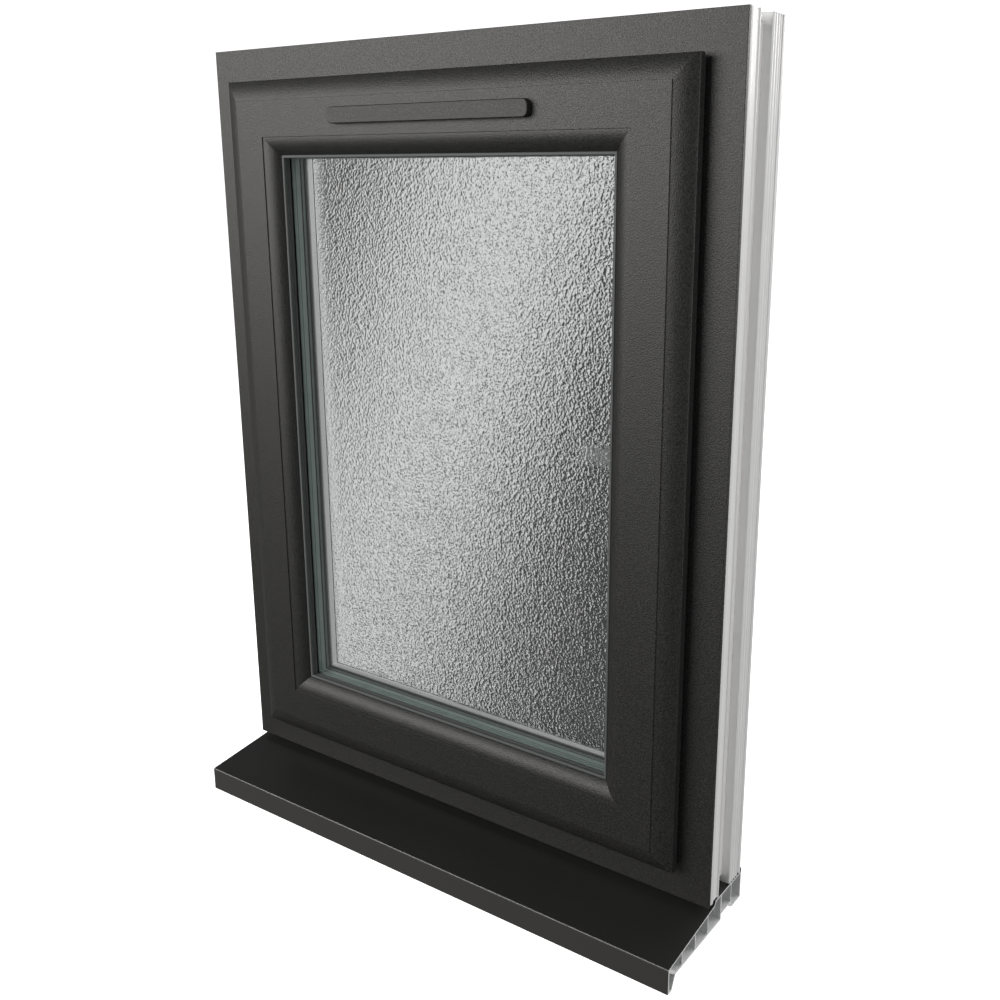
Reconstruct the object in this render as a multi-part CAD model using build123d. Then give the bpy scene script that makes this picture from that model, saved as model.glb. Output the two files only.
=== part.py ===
"""Side-hung casement window: mitred multi-chamber frame on a projecting sill, with an outward-opening
sculptured sash, an obscure double-glazed unit, a trickle vent and an espagnolette lock.

Seen from outside, X runs to the right, Y runs into the wall and Z runs up. The origin is in the middle
of the width, in the plane of the frame's outside face and on the flat face that the sill is bedded on.
All sizes are in millimetres. Profile sections are drawn as (m, y): m is measured inwards from the
outer edge of the frame, y is the depth.
"""
import os
from math import cos, pi, radians, sin

from build123d import *

# Frame, overall
FRAME_W = 600.0
FRAME_H = 778.0
FRAME_D = 70.0
FRAME_FLOOR = 40.0        # height of the rebate floor that the hardware stands on
FRAME_UPSTAND = 60.0      # height of the room-side upstand that the sash shuts against
UPSTAND_T = 18.0
FRAME_WALL = 2.4
FRAME_WEB = 1.4
FRAME_WEB_Y = (12.0, 44.6)   # depth of the two webs between the chambers
UPSTAND_ROUND = 3.0
SIDE_CHANNEL_Y = (22.5, 44.7)   # wide channel round the outside of the frame
SIDE_CHANNEL_DEEP = 3.0
SIDE_HOLLOW_Y = (12.0, 19.5)
SIDE_HOLLOW_DEEP = 1.0
SIDE_RIDGE_START = 47.0
SIDE_RIDGE_PITCH = 2.7
SIDE_RIDGE_COUNT = 5
SIDE_RIDGE_DEEP = 0.5
SIDE_GROOVE_Y = (61.9, 64.6)
SIDE_GROOVE_DEEP = 1.6

# Weather seals between frame and sash
SEAL_SLOT_W = 2.4
SEAL_SLOT_DEEP = 3.0
SEAL_FIT = 0.1
OUTER_SEAL_M = 36.5
OUTER_SEAL_W = 4.4
INNER_SEAL_M = 56.0
INNER_SEAL_W = 4.6

# Sash section
SASH_MARGIN = 32.0        # frame face that shows round the sash
SASH_PROUD = 21.8         # front of the sash's flat band, ahead of the frame face
LIP_GAP = 4.0             # back of the sash lip to the frame face
LIP_EDGE = 8.6            # height of the lip's square outer edge
LIP_STEP = 2.0
LIP_ARRIS = 0.9
OUTER_OVOLO_W = 19.5
FLAT_BAND_W = 35.3
INNER_OVOLO_W = 17.2
NIB_FRONT = 12.6          # end of the inner ovolo, ahead of the frame face
QUIRK = 1.0               # step between the flat band and each ovolo
HARDWARE_GAP = 12.0       # frame floor to sash edge
SASH_SHUT_GAP = 3.5       # frame upstand to the room face of the sash
SASH_WALL = 2.4
SASH_WEB = 1.4
NIB_BACK = 7.0            # back of the sash's glazing nib, ahead of the frame face
SASH_FLOOR = 88.5         # glazing rebate floor
GROOVE_Y = 22.0           # middle of the hardware groove
GROOVE_W = 16.4
GROOVE_DEEP = 3.0
GROOVE_SLOT_W = 12.0
GROOVE_SLOT_DEEP = 10.0
BEAD_GROOVE_Y = 40.0
BEAD_GROOVE_W = 3.0
BEAD_GROOVE_DEEP = 4.0

# Glazing
GASKET_T = 2.0
GASKET_LIP_W = 3.1        # gasket lip that covers the end of the nib
GASKET_LIP_PROUD = 0.5
PANE_T = 4.0
CAVITY = 16.0
GLASS_CLEAR = 5.0         # glass edge to rebate floor
SPACER_W = 7.0
SPACER_GROOVE = 1.0
SPACER_SIGHT = 107.5
BEAD_GASKET_T = 3.0
BEAD_GASKET_W = 9.0
BEAD_SIGHT = 107.0
BEAD_REVEAL = 8.0         # straight part of the bead before its ovolo
BEAD_TOP_W = 5.0
BEAD_WALL = 2.0
BEAD_FIT = 0.2
PACKER_L = 90.0
PACKER_FROM_CORNER = 60.0

# Sill
SILL_PROJECT = 76.0       # nose ahead of the frame face
SILL_TOP = 29.0           # flat pad under the frame, above the bedding face
SILL_NOSE_TOP = 13.0
SILL_NOSE_LOW = 13.0      # drip of the nose below the bedding face
SILL_NOSE_T = 7.6
SILL_NOSE_RUN = 6.2       # slope from the drip back up to the bedding face
SILL_STEP_Y = 13.5        # where the slope ends and the step to the pad begins
SILL_STEP_RUN = 2.8
SILL_STEP_RISE = 4.6
SILL_WALL = 2.0
SILL_WEB = 1.3
SILL_WEB_PITCH = 25.5
SILL_RECESS_Y = (29.0, 50.5)    # recess in the underside, behind the main chambers
SILL_RECESS_RISE = 6.0
SILL_HOOK = 5.0
SILL_UPSTAND_T = 1.6
SILL_UPSTAND_RISE = 3.6
SILL_UPSTAND_GAP = 0.3

# Friction stays, top and bottom
STAY_CX = 64.0            # sash pivot from the frame's left edge
STAY_SHORT = 60.0         # short arm, pivot to pivot
STAY_LONG = 141.2         # long arm, pivot to pivot
STAY_B_FROM_C = 162.6     # long arm's fixed pivot from the sash pivot
STAY_D_FROM_C = 22.0      # long arm's sash pivot from the sash pivot
TRACK_W = 18.0
TRACK_T = 1.6
TRACK_LIP = 1.0
TRACK_END = 14.0
TRACK_SCREW_NEAR = 24.0   # from the sash pivot
TRACK_SCREW_FAR = 30.0    # from the short arm's frame pivot
BAR_SCREW_NEAR = 46.0     # from the sash pivot
BAR_SCREW_FAR = 96.0
SCREW_EDGE = 6.0          # screw to the end of the piece it holds
ARM_T = 2.0
ARM_W = 14.0
ARM_EYE_R = 8.0
LEVEL_GAP = 0.3
BAR_W = 19.0
BAR_T = 3.0
BAR_END = 20.0
PIVOT_R = 3.0
PIVOT_FIT = 0.05
COLLAR_R = 4.4
OPEN_PIVOT_R = 2.6
OPEN_PIVOT_CLEAR = 3.2    # free play of the long arm on its sash pivot
LONG_EYE_R = 9.0

# Espagnolette lock
BACKSET = 22.0            # sash edge to spindle
FACEPLATE_L = 600.0
FACEPLATE_W = 16.0
FACEPLATE_T = 2.8
ROD_W = 10.0
ROD_T = 2.0
ROD_SHORTER = 36.0
ROD_FIT = 0.2
CAM_TRAVEL = 18.0
CAM_R = 4.0
CAM_HEAD_R = 5.0
CAM_HEAD_T = 2.0
CAM_REACH = 8.5
CAM_FROM_END = 70.0       # end cams from the faceplate's ends
CAM_COUNT = 3
KEEP_T = 2.0
KEEP_W = 18.0
KEEP_L = 62.0
KEEP_DROP = 12.0          # middle of the keep below the unlocked cam
KEEP_SCREW_IN = 4.0
KEEP_MOUTH = 1.4          # keep's hook below the unlocked cam
KEEP_REACH = 6.0
KEEP_WALL = 2.5
KEEP_LIP = 2.2
KEEP_LIP_T = 2.0
KEEP_CLEAR = 1.2
CASE_L = 112.0
CASE_W = 14.0
CASE_DEEP = 28.0
FOLLOWER_R = 7.0
SPINDLE = 7.0
SPINDLE_FIT = 0.08
HANDLE_CENTRES = 43.0     # the two fixing screws of the handle

# Handle
PLATE_W = 25.0
PLATE_L = 128.0
PLATE_T = 10.0
PLATE_WELL = 2.0          # depth that the screw heads are sunk
PLATE_CHAMFER = 2.2
NECK_R = 9.0
NECK_L = 21.0
LEVER_L = 112.0
LEVER_R = 10.5
LEVER_TIP_R = 8.0
LEVER_T = 12.0
LEVER_ROUND = 3.0
BUTTON_R = 5.0
BUTTON_BORE = 9.0
BUTTON_SLOT_W = 1.4
SOCKET_L = 14.0
BUTTON_OUT = 3.6
BUTTON_TRAVEL = 2.8
BUTTON_FIT = 0.06
TURN_GAP = 0.3

# Trickle vent
VENT_X = 0.0
VENT_FROM_BAND = 17.0     # outer edge of the sash's flat band to the middle of the vent
CANOPY_L = 233.0
CANOPY_H = 15.3
CANOPY_D = 6.0
CANOPY_ROUND = 5.5
CANOPY_CHAMFER = 0.7
CANOPY_WALL = 1.5
VENT_SLOT_L = 78.0
VENT_SLOT_H = 9.0
VENT_SLOT_BRIDGE = 12.0
VENT_BODY_GAP = 2.5       # frame upstand to the room-side part of the vent
VENT_BODY_L = 244.0
VENT_BODY_H = 21.0
VENT_BODY_D = 13.0
VENT_BODY_WALL = 1.8
VENT_CAP_L = 6.0
VENT_PORT_L = 12.0
VENT_PORT_COUNT = 8
VENT_PORT_H = 6.0
VENT_PORT_RISE = 1.5
VENT_SLIDE_T = 1.6
VENT_SLIDE_GAP = 0.3
VENT_TRAVEL = 12.0
VENT_KNOB_L = 16.0
VENT_KNOB_T = 2.4
VENT_KNOB_DROP = 0.8
VENT_KNOB_OUT = 4.0
VENT_KNOB_FIT = 0.4
VENT_SCREW_IN = 8.0

# Fasteners
SCREW_R = 2.1
SCREW_HEAD_R = 3.9
SCREW_HEAD_T = 1.4
SCREW_LAP = 0.05
SCREW_L = 18.0
SCREW_SIDES = 12
PIN_SIDES = 16
HANDLE_SCREW_L = 36.0
SILL_SCREW_L = 48.0
DRAIN_L = 26.0
DRAIN_W = 5.0
DRAIN_DROP = 9.0          # front of the sash drain ahead of the hardware slot
DRAIN_Y = 5.5
DRAIN_OFFSET = 20.0
CUT_PAST = 1.0            # how far a cutting shape runs past the piece
DRAIN_FROM_CORNER = 120.0

# Planes that follow from the sizes above
LEFT = -FRAME_W / 2
BASE_Z = SILL_TOP
TOP_Z = BASE_Z + FRAME_H
UPSTAND_Y = FRAME_D - UPSTAND_T
SASH_BACK = UPSTAND_Y - SASH_SHUT_GAP
SASH_EDGE = FRAME_FLOOR + HARDWARE_GAP
BAND_M = SASH_MARGIN + OUTER_OVOLO_W
BAND_END_M = BAND_M + FLAT_BAND_W
SIGHT = BAND_END_M + INNER_OVOLO_W
GLASS_Y = -NIB_BACK + GASKET_T
GLASS_BACK = GLASS_Y + 2 * PANE_T + CAVITY
GLASS_EDGE = SASH_FLOOR + GLASS_CLEAR
BEAD_Y = GLASS_BACK + BEAD_GASKET_T
SPINDLE_M = SASH_EDGE + BACKSET
SPINDLE_X = -LEFT - SPINDLE_M
SPINDLE_Z = BASE_Z + FRAME_H / 2
VENT_Z = TOP_Z - BAND_M - VENT_FROM_BAND
VENT_BODY_Z = TOP_Z - FRAME_UPSTAND - VENT_BODY_GAP - VENT_BODY_H / 2
VENT_PORT_Z = VENT_BODY_Z + VENT_PORT_RISE
PIVOT_X = LEFT + STAY_CX


def outline(*steps):
    """Closed wire through points; a step that holds two points is an arc by way of the first."""
    edges = []
    here = steps[0]
    for step in steps[1:] + (steps[0],):
        if isinstance(step[0], tuple):
            edges.append(Edge.make_three_point_arc(here, step[0], step[1]))
            here = step[1]
        elif here != step:
            edges.append(Edge.make_line(here, step))
            here = step
    return Wire(edges)


def rectangle(m0, m1, y0, y1):
    return outline((m0, y0), (m1, y0), (m1, y1), (m0, y1))


def block(x0, x1, y0, y1, z0, z1):
    """Box between two corners."""
    size = Box(x1 - x0, y1 - y0, z1 - z0)
    return Pos((x0 + x1) / 2, (y0 + y1) / 2, (z0 + z1) / 2) * size


def rod(centre, direction, radius, length):
    """Cylinder that starts at a point and runs along a direction."""
    plane = Plane(origin=centre, z_dir=direction)
    return plane * Cylinder(radius, length, align=(Align.CENTER, Align.CENTER, Align.MIN))


def single(shape):
    """The one solid that a boolean left, without its wrapping."""
    solids = shape.solids()
    return solids[0] if len(solids) == 1 else Compound(children=list(solids))


# Start corner, direction of m, direction of the length and the length, for each side of the window
SIDES = {
    "left": ((LEFT, 0, BASE_Z), (1, 0, 0), (0, 0, 1), FRAME_H),
    "right": ((-LEFT, 0, TOP_Z), (-1, 0, 0), (0, 0, -1), FRAME_H),
    "base": ((-LEFT, 0, BASE_Z), (0, 0, 1), (-1, 0, 0), FRAME_W),
    "head": ((LEFT, 0, TOP_Z), (0, 0, -1), (1, 0, 0), FRAME_W),
}


def member(face, side):
    """A profile length for one side of the window, mitred at both ends."""
    corner, across, along, length = SIDES[side]
    start = Vector(*corner)
    across, along = Vector(*across), Vector(*along)
    bar = Solid.extrude(face.moved(Plane(start, x_dir=across, z_dir=along).location), along * length)
    deep = min(FRAME_W, FRAME_H) / 2
    past = 20.0
    reach = Vector(0, -FRAME_D * 2, 0)
    corners = [(-past, -past), (deep, deep), (deep, length - deep), (-past, length + past)]
    if length - 2 * deep < 0.01:
        corners = [(-past, -past), (deep, deep), (-past, length + past)]
    wedge_wire = Wire.make_polygon([start + across * a + along * b + reach for a, b in corners], close=True)
    wedge = Solid.extrude(Face(wedge_wire), Vector(0, FRAME_D * 4, 0))
    return single(bar & wedge)


def ring(face):
    """The same profile carried round all four sides as one piece."""
    sides = [member(face, side) for side in SIDES]
    return single(sides[0].fuse(*sides[1:]))


def opened(side, m0, m1, y0, y1, along0, along1):
    """A box in the coordinates of one side, for slots and pockets."""
    corner, across, along, length = SIDES[side]
    points = [Vector(*corner) + Vector(*across) * m + Vector(*along) * s + Vector(0, y, 0)
              for m in (m0, m1) for y in (y0, y1) for s in (along0, along1)]
    xs, ys, zs = [p.X for p in points], [p.Y for p in points], [p.Z for p in points]
    return block(min(xs), max(xs), min(ys), max(ys), min(zs), max(zs))


def turned(point, direction, steps, sides=SCREW_SIDES):
    """Many-sided turned piece: steps are (radius, depth) along a direction from a point."""
    turns = [2 * pi * i / sides for i in range(sides)]
    rings = [[Vector(radius * cos(t), radius * sin(t), depth) for t in turns] for radius, depth in steps]
    faces = [Face(Wire.make_polygon(ring_, close=True)) for ring_ in (rings[0], rings[-1])]
    for low, high in zip(rings, rings[1:]):
        for i in range(sides):
            k = (i + 1) % sides
            faces.append(Face(Wire.make_polygon([low[i], low[k], high[k], high[i]], close=True)))
    return Solid(Shell(faces)).moved(Plane(origin=point, z_dir=direction).location)


def prism(point, direction, radius, length):
    """Many-sided bar that starts at a point and runs along a direction."""
    return turned(point, direction, [(radius, 0), (radius, length)])


def screw(point, direction, length, spare=0.0):
    """Countersunk screw with its head flush at the point and its shank running on from there."""
    head, shank = SCREW_HEAD_R + spare, SCREW_R + spare
    return turned(point, direction, [(head, 0), (shank, SCREW_HEAD_T), (shank, length)])


def screw_hole(point, direction, length):
    """Countersunk clearance hole that a screw from the same point seats in."""
    return screw(point, direction, length, SCREW_LAP)


def bored(shape, places, length):
    """A shape with the clearance holes of screws that start at the given places."""
    for point, direction in places:
        shape = shape - screw_hole(point, direction, length)
    return single(shape)


def group(solids):
    return Compound(children=[s.solids()[0] for s in solids])


def along_side(side, m, y, s):
    corner, across, along, length = SIDES[side]
    point = Vector(*corner) + Vector(*across) * m + Vector(*along) * s + Vector(0, y, 0)
    return (point.X, point.Y, point.Z)


# Profile sections
def frame_section():
    """Outer frame: flat face, rebate floor, room-side upstand, and a grooved outer edge."""
    ridges = []
    for i in range(SIDE_RIDGE_COUNT):
        y = SIDE_RIDGE_START + i * SIDE_RIDGE_PITCH
        ridges += [(0, y), (SIDE_RIDGE_DEEP, y + SIDE_RIDGE_PITCH / 2)]
    ridges.append((0, SIDE_RIDGE_START + SIDE_RIDGE_COUNT * SIDE_RIDGE_PITCH))
    hollow0, hollow1 = SIDE_HOLLOW_Y
    channel0, channel1 = SIDE_CHANNEL_Y
    groove0, groove1 = SIDE_GROOVE_Y
    edge = [(0, 0), (0, hollow0), (SIDE_HOLLOW_DEEP, hollow0 + SIDE_HOLLOW_DEEP),
            (SIDE_HOLLOW_DEEP, hollow1 - SIDE_HOLLOW_DEEP), (0, hollow1), (0, channel0),
            (SIDE_CHANNEL_DEEP, channel0), (SIDE_CHANNEL_DEEP, channel1), (0, channel1)]
    edge += ridges
    edge += [(0, groove0), (SIDE_GROOVE_DEEP, groove0), (SIDE_GROOVE_DEEP, groove1), (0, groove1),
             (0, FRAME_D)]
    half = SEAL_SLOT_W / 2
    turn = UPSTAND_ROUND * (1 - cos(radians(45)))
    room = [(FRAME_UPSTAND - UPSTAND_ROUND, FRAME_D),
            ((FRAME_UPSTAND - turn, FRAME_D - turn), (FRAME_UPSTAND, FRAME_D - UPSTAND_ROUND)),
            (FRAME_UPSTAND, UPSTAND_Y), (INNER_SEAL_M + half, UPSTAND_Y),
            (INNER_SEAL_M + half, UPSTAND_Y + SEAL_SLOT_DEEP),
            (INNER_SEAL_M - half, UPSTAND_Y + SEAL_SLOT_DEEP), (INNER_SEAL_M - half, UPSTAND_Y),
            (FRAME_FLOOR, UPSTAND_Y), (FRAME_FLOOR, 0), (OUTER_SEAL_M + half, 0),
            (OUTER_SEAL_M + half, SEAL_SLOT_DEEP), (OUTER_SEAL_M - half, SEAL_SLOT_DEEP),
            (OUTER_SEAL_M - half, 0)]
    inner = FRAME_FLOOR - FRAME_WALL
    web0, web1 = FRAME_WEB_Y
    nook = OUTER_SEAL_M - half - FRAME_WEB
    shallow = SIDE_HOLLOW_DEEP + FRAME_WALL
    deep = SIDE_CHANNEL_DEEP + FRAME_WALL
    rear = SIDE_GROOVE_DEEP + FRAME_WALL
    seal_wall = UPSTAND_Y + SEAL_SLOT_DEEP + FRAME_WEB
    chambers = [
        outline((shallow, FRAME_WALL), (nook, FRAME_WALL), (nook, SEAL_SLOT_DEEP + FRAME_WEB),
                (inner, SEAL_SLOT_DEEP + FRAME_WEB), (inner, web0), (shallow, web0)),
        rectangle(deep, inner, web0 + FRAME_WEB, web1),
        rectangle(rear, inner, web1 + FRAME_WEB, FRAME_D - FRAME_WALL),
        rectangle(inner + FRAME_WEB, FRAME_UPSTAND - FRAME_WALL, seal_wall, FRAME_D - FRAME_WALL),
    ]
    return Face(outline(*edge, *room), chambers)


def sash_section():
    """Sash: lip over the frame, outer ovolo, flat band, inner ovolo, glazing nib and hardware groove."""
    lip_back = -LIP_GAP
    lip_front = lip_back - LIP_EDGE
    ovolo_y = -SASH_PROUD + QUIRK
    start = (SASH_MARGIN + LIP_ARRIS, lip_front - LIP_ARRIS)
    rise = start[1] - ovolo_y
    middle = (SASH_MARGIN + OUTER_OVOLO_W * 0.5, ovolo_y + rise * 0.33)
    drop = -NIB_FRONT - ovolo_y
    inner_middle = (BAND_END_M + INNER_OVOLO_W * 0.59, ovolo_y + drop * 0.285)
    half, slot = GROOVE_W / 2, GROOVE_SLOT_W / 2
    seal = SEAL_SLOT_W / 2
    gasket_m = SIGHT - 4.4
    gasket_root = -NIB_BACK - SEAL_SLOT_DEEP + 0.6
    bead0 = BEAD_GROOVE_Y - BEAD_GROOVE_W / 2
    bead1 = BEAD_GROOVE_Y + BEAD_GROOVE_W / 2
    front = [(SASH_EDGE, lip_back), (SASH_MARGIN + LIP_STEP, lip_back),
             (SASH_MARGIN + LIP_STEP, lip_back - LIP_STEP), (SASH_MARGIN, lip_back - LIP_STEP),
             (SASH_MARGIN, lip_front), start, (middle, (BAND_M, ovolo_y)), (BAND_M, -SASH_PROUD),
             (BAND_END_M, -SASH_PROUD), (BAND_END_M, ovolo_y), (inner_middle, (SIGHT, -NIB_FRONT)),
             (SIGHT, -NIB_BACK), (gasket_m + seal, -NIB_BACK), (gasket_m + seal, gasket_root),
             (gasket_m - seal, gasket_root), (gasket_m - seal, -NIB_BACK), (SASH_FLOOR, -NIB_BACK)]
    bead_root = SASH_FLOOR - BEAD_GROOVE_DEEP
    back = [(SASH_FLOOR, bead0), (bead_root, bead0), (bead_root, bead1), (SASH_FLOOR, bead1),
            (SASH_FLOOR, SASH_BACK), (SASH_EDGE + 1, SASH_BACK), (SASH_EDGE, SASH_BACK - 1),
            (SASH_EDGE, GROOVE_Y + half), (SASH_EDGE + GROOVE_DEEP, GROOVE_Y + half),
            (SASH_EDGE + GROOVE_DEEP, GROOVE_Y + slot), (SASH_EDGE + GROOVE_SLOT_DEEP, GROOVE_Y + slot),
            (SASH_EDGE + GROOVE_SLOT_DEEP, GROOVE_Y - slot), (SASH_EDGE + GROOVE_DEEP, GROOVE_Y - slot),
            (SASH_EDGE + GROOVE_DEEP, GROOVE_Y - half), (SASH_EDGE, GROOVE_Y - half)]
    w, web = SASH_WALL, SASH_WEB
    divide = SASH_EDGE + GROOVE_SLOT_DEEP + web
    face_in = -SASH_PROUD + w
    lip_in = lip_back - w
    slope = (BAND_M - SASH_MARGIN - LIP_STEP - w)
    chambers = [
        outline((SASH_MARGIN + LIP_STEP + w, lip_in),
                (SASH_MARGIN + LIP_STEP + w, lip_front - LIP_ARRIS + 1.0),
                (SASH_MARGIN + LIP_STEP + w + slope * 0.5, ovolo_y + w + 2.0), (BAND_M + w, face_in),
                (divide - web, face_in), (divide - web, lip_in)),
        outline((divide, face_in), (BAND_END_M - w * 0.5, face_in), (SIGHT - 8.6, -NIB_FRONT - 4.0),
                (SIGHT - 8.6, -NIB_BACK - w), (SASH_FLOOR - w, -NIB_BACK - w), (SASH_FLOOR - w, lip_in),
                (divide, lip_in)),
        rectangle(divide, SASH_FLOOR - w, lip_in + web, bead0 - w),
        rectangle(divide, SASH_FLOOR - BEAD_GROOVE_DEEP - web, bead0 - w + web, SASH_BACK - w),
        rectangle(SASH_EDGE + w, divide - web, lip_in + web, GROOVE_Y - half - web),
        rectangle(SASH_EDGE + w, divide - web, GROOVE_Y + half + web, SASH_BACK - w),
    ]
    return Face(outline(*front, *back), chambers)


def bead_section():
    """Room-side glazing bead: clip leg, straight reveal, and an ovolo down to the sash's room face."""
    foot = SASH_FLOOR + BEAD_FIT
    leg = SASH_FLOOR - BEAD_GROOVE_DEEP + BEAD_FIT
    leg0 = BEAD_GROOVE_Y - BEAD_GROOVE_W / 2 + BEAD_FIT
    leg1 = BEAD_GROOVE_Y + BEAD_GROOVE_W / 2 - BEAD_FIT
    reveal = BEAD_Y + BEAD_REVEAL
    top = foot + BEAD_TOP_W
    wide = BEAD_SIGHT - top
    deep = SASH_BACK - reveal
    bulge = (BEAD_SIGHT - wide * 0.22, reveal + deep * 0.62)
    outer = outline((foot, BEAD_Y + 2), (foot + 3, BEAD_Y), (BEAD_SIGHT - 1, BEAD_Y),
                    (BEAD_SIGHT, BEAD_Y + 1), (BEAD_SIGHT, reveal), (bulge, (top, SASH_BACK)),
                    (foot, SASH_BACK), (foot, leg1), (leg, leg1), (leg, leg0), (foot, leg0))
    w = BEAD_WALL
    hollow = outline((foot + w, BEAD_Y + 4), (BEAD_SIGHT - w - 1, BEAD_Y + w + 1),
                     (BEAD_SIGHT - w - 1, reveal - 2), (BEAD_SIGHT - wide * 0.42, reveal + deep * 0.36),
                     (foot + w, SASH_BACK - w - 3.0))
    return Face(outer, [hollow])


def outer_seal_section():
    """Seal in the frame's face slot, just clear of the sash lip."""
    half = SEAL_SLOT_W / 2 - SEAL_FIT
    root = SEAL_SLOT_DEEP - SEAL_FIT
    out = -LIP_GAP + SEAL_FIT
    wide = OUTER_SEAL_W / 2
    return Face(outline((OUTER_SEAL_M - half, root), (OUTER_SEAL_M - half, 0), (OUTER_SEAL_M - wide, 0),
                        (OUTER_SEAL_M - wide + 0.8, out + 0.6), (OUTER_SEAL_M - wide + 1.6, out),
                        (OUTER_SEAL_M + wide - 0.6, out), (OUTER_SEAL_M + wide, out + 0.8),
                        (OUTER_SEAL_M + wide - 0.6, 0), (OUTER_SEAL_M + half, 0),
                        (OUTER_SEAL_M + half, root)))


def inner_seal_section():
    """Seal in the upstand's slot, just clear of the room face of the sash."""
    half = SEAL_SLOT_W / 2 - SEAL_FIT
    root = UPSTAND_Y + SEAL_SLOT_DEEP - SEAL_FIT
    out = SASH_BACK + SEAL_FIT
    wide = INNER_SEAL_W / 2
    return Face(outline((INNER_SEAL_M - half, root), (INNER_SEAL_M - half, UPSTAND_Y),
                        (INNER_SEAL_M - wide, UPSTAND_Y), (INNER_SEAL_M - wide, out + 1.0),
                        (INNER_SEAL_M - wide + 1.0, out), (INNER_SEAL_M + wide - 1.0, out),
                        (INNER_SEAL_M + wide, out + 1.0), (INNER_SEAL_M + wide, UPSTAND_Y),
                        (INNER_SEAL_M + half, UPSTAND_Y), (INNER_SEAL_M + half, root)))


def glazing_gasket_section():
    """Outside glazing gasket: root in the nib's slot, pad on the glass and a lip over the end of the nib."""
    middle = SIGHT - 4.4
    half = SEAL_SLOT_W / 2 - SEAL_FIT
    root = -NIB_BACK - SEAL_SLOT_DEEP + 0.6 + SEAL_FIT
    edge = SIGHT + GASKET_LIP_W
    front = -NIB_FRONT - GASKET_LIP_PROUD
    return Face(outline((middle - 3.4, GLASS_Y), (middle - 3.4, -NIB_BACK), (middle - half, -NIB_BACK),
                        (middle - half, root), (middle + half, root), (middle + half, -NIB_BACK),
                        (SIGHT, -NIB_BACK), (SIGHT, front + 1.0), (SIGHT + 0.6, front), (edge - 0.8, front),
                        (edge, front + 0.8), (edge, -NIB_BACK - 1.6), (edge - 0.8, -NIB_BACK - 1.0),
                        (edge, -NIB_BACK - 0.2), (edge, GLASS_Y)))


def bead_gasket_section():
    """Soft strip between the inner pane and the bead."""
    start = BEAD_SIGHT - BEAD_GASKET_W
    return Face(outline((start, GLASS_BACK), (BEAD_SIGHT - 0.4, GLASS_BACK),
                        (BEAD_SIGHT + 0.6, BEAD_Y - 1.2), (BEAD_SIGHT - 1, BEAD_Y), (start, BEAD_Y)))


def sill_section():
    """Sill drawn as (y, z) on the bedding face: hollow nose, sloping top, pad, webs, recessed underside."""
    nose = -SILL_PROJECT
    back = FRAME_D + SILL_UPSTAND_GAP + SILL_UPSTAND_T
    pad_y = SILL_STEP_Y + SILL_STEP_RUN
    slope_end = SILL_TOP - SILL_STEP_RISE
    recess0, recess1 = SILL_RECESS_Y
    nose_back = nose + SILL_NOSE_T + SILL_NOSE_RUN
    w = SILL_WALL
    outer = outline(
        (nose, -SILL_NOSE_LOW), (nose + SILL_NOSE_T, -SILL_NOSE_LOW), (nose_back, 0), (recess0, 0),
        (recess0, SILL_RECESS_RISE), (recess1 - SILL_HOOK, SILL_RECESS_RISE), (recess1 + 1.5, 0), (back, 0),
        (back, SILL_TOP + SILL_UPSTAND_RISE), (back - SILL_UPSTAND_T, SILL_TOP + SILL_UPSTAND_RISE),
        (back - SILL_UPSTAND_T, SILL_TOP), (pad_y, SILL_TOP), (SILL_STEP_Y, slope_end),
        (nose + 1.0, SILL_NOSE_TOP), (nose, SILL_NOSE_TOP - 1.0))

    def top(y):
        """Underside of the top skin at a depth."""
        rise = (slope_end - SILL_NOSE_TOP) / (SILL_STEP_Y - nose)
        return SILL_NOSE_TOP + rise * (y - nose) - w
    webs = []
    y = recess0 - SILL_WALL
    while y > nose_back + SILL_WEB_PITCH * 0.5:
        webs.append(y)
        y -= SILL_WEB_PITCH
    webs = webs[::-1]
    cells = [outline((nose + w, -SILL_NOSE_LOW + w), (nose + SILL_NOSE_T - w * 0.5, -SILL_NOSE_LOW + w),
                     (nose_back - w * 0.6, w * 0.4), (nose + w, SILL_NOSE_TOP - w - 2.5))]
    first = nose_back + 0.4
    cells.append(outline((first, w), (webs[0] - SILL_WEB, w), (webs[0] - SILL_WEB, top(webs[0] - SILL_WEB)),
                         (nose + w + 2.4, top(nose + w + 2.4))))
    for y0, y1 in zip(webs[:-2], webs[1:-1]):
        web = y1 - SILL_WEB
        cells.append(outline((y0, w), (web, w), (web, top(web)), (y0, top(y0))))
    y0, y1 = webs[-2], webs[-1]
    cells.append(outline((y0, w), (y1, w), (y1, SILL_TOP - w), (pad_y + w * 0.4, SILL_TOP - w),
                         (SILL_STEP_Y + w * 0.4, top(SILL_STEP_Y)), (y0, top(y0))))
    cells.append(rectangle(recess0, recess1 - SILL_WEB, SILL_RECESS_RISE + w, SILL_TOP - w))
    cells.append(outline((recess1 + 1.5 + w, w), (back - w, w), (back - w, SILL_TOP - w),
                         (recess1, SILL_TOP - w), (recess1, SILL_HOOK)))
    return Face(outer, cells)


# Places of the fasteners, shared by the screws and the parts they pass through
def track_screw_places(side):
    """Screws that hold a stay's track on the frame floor."""
    spots = (STAY_CX + TRACK_SCREW_NEAR, STAY_CX + STAY_SHORT + TRACK_SCREW_FAR,
             STAY_CX + STAY_B_FROM_C + TRACK_END - SCREW_EDGE)
    direction = (0, 0, -1) if side == "base" else (0, 0, 1)
    deep = FRAME_FLOOR + TRACK_T
    z = BASE_Z + deep if side == "base" else TOP_Z - deep
    return [((LEFT + s, GROOVE_Y, z), direction) for s in spots]


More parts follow.
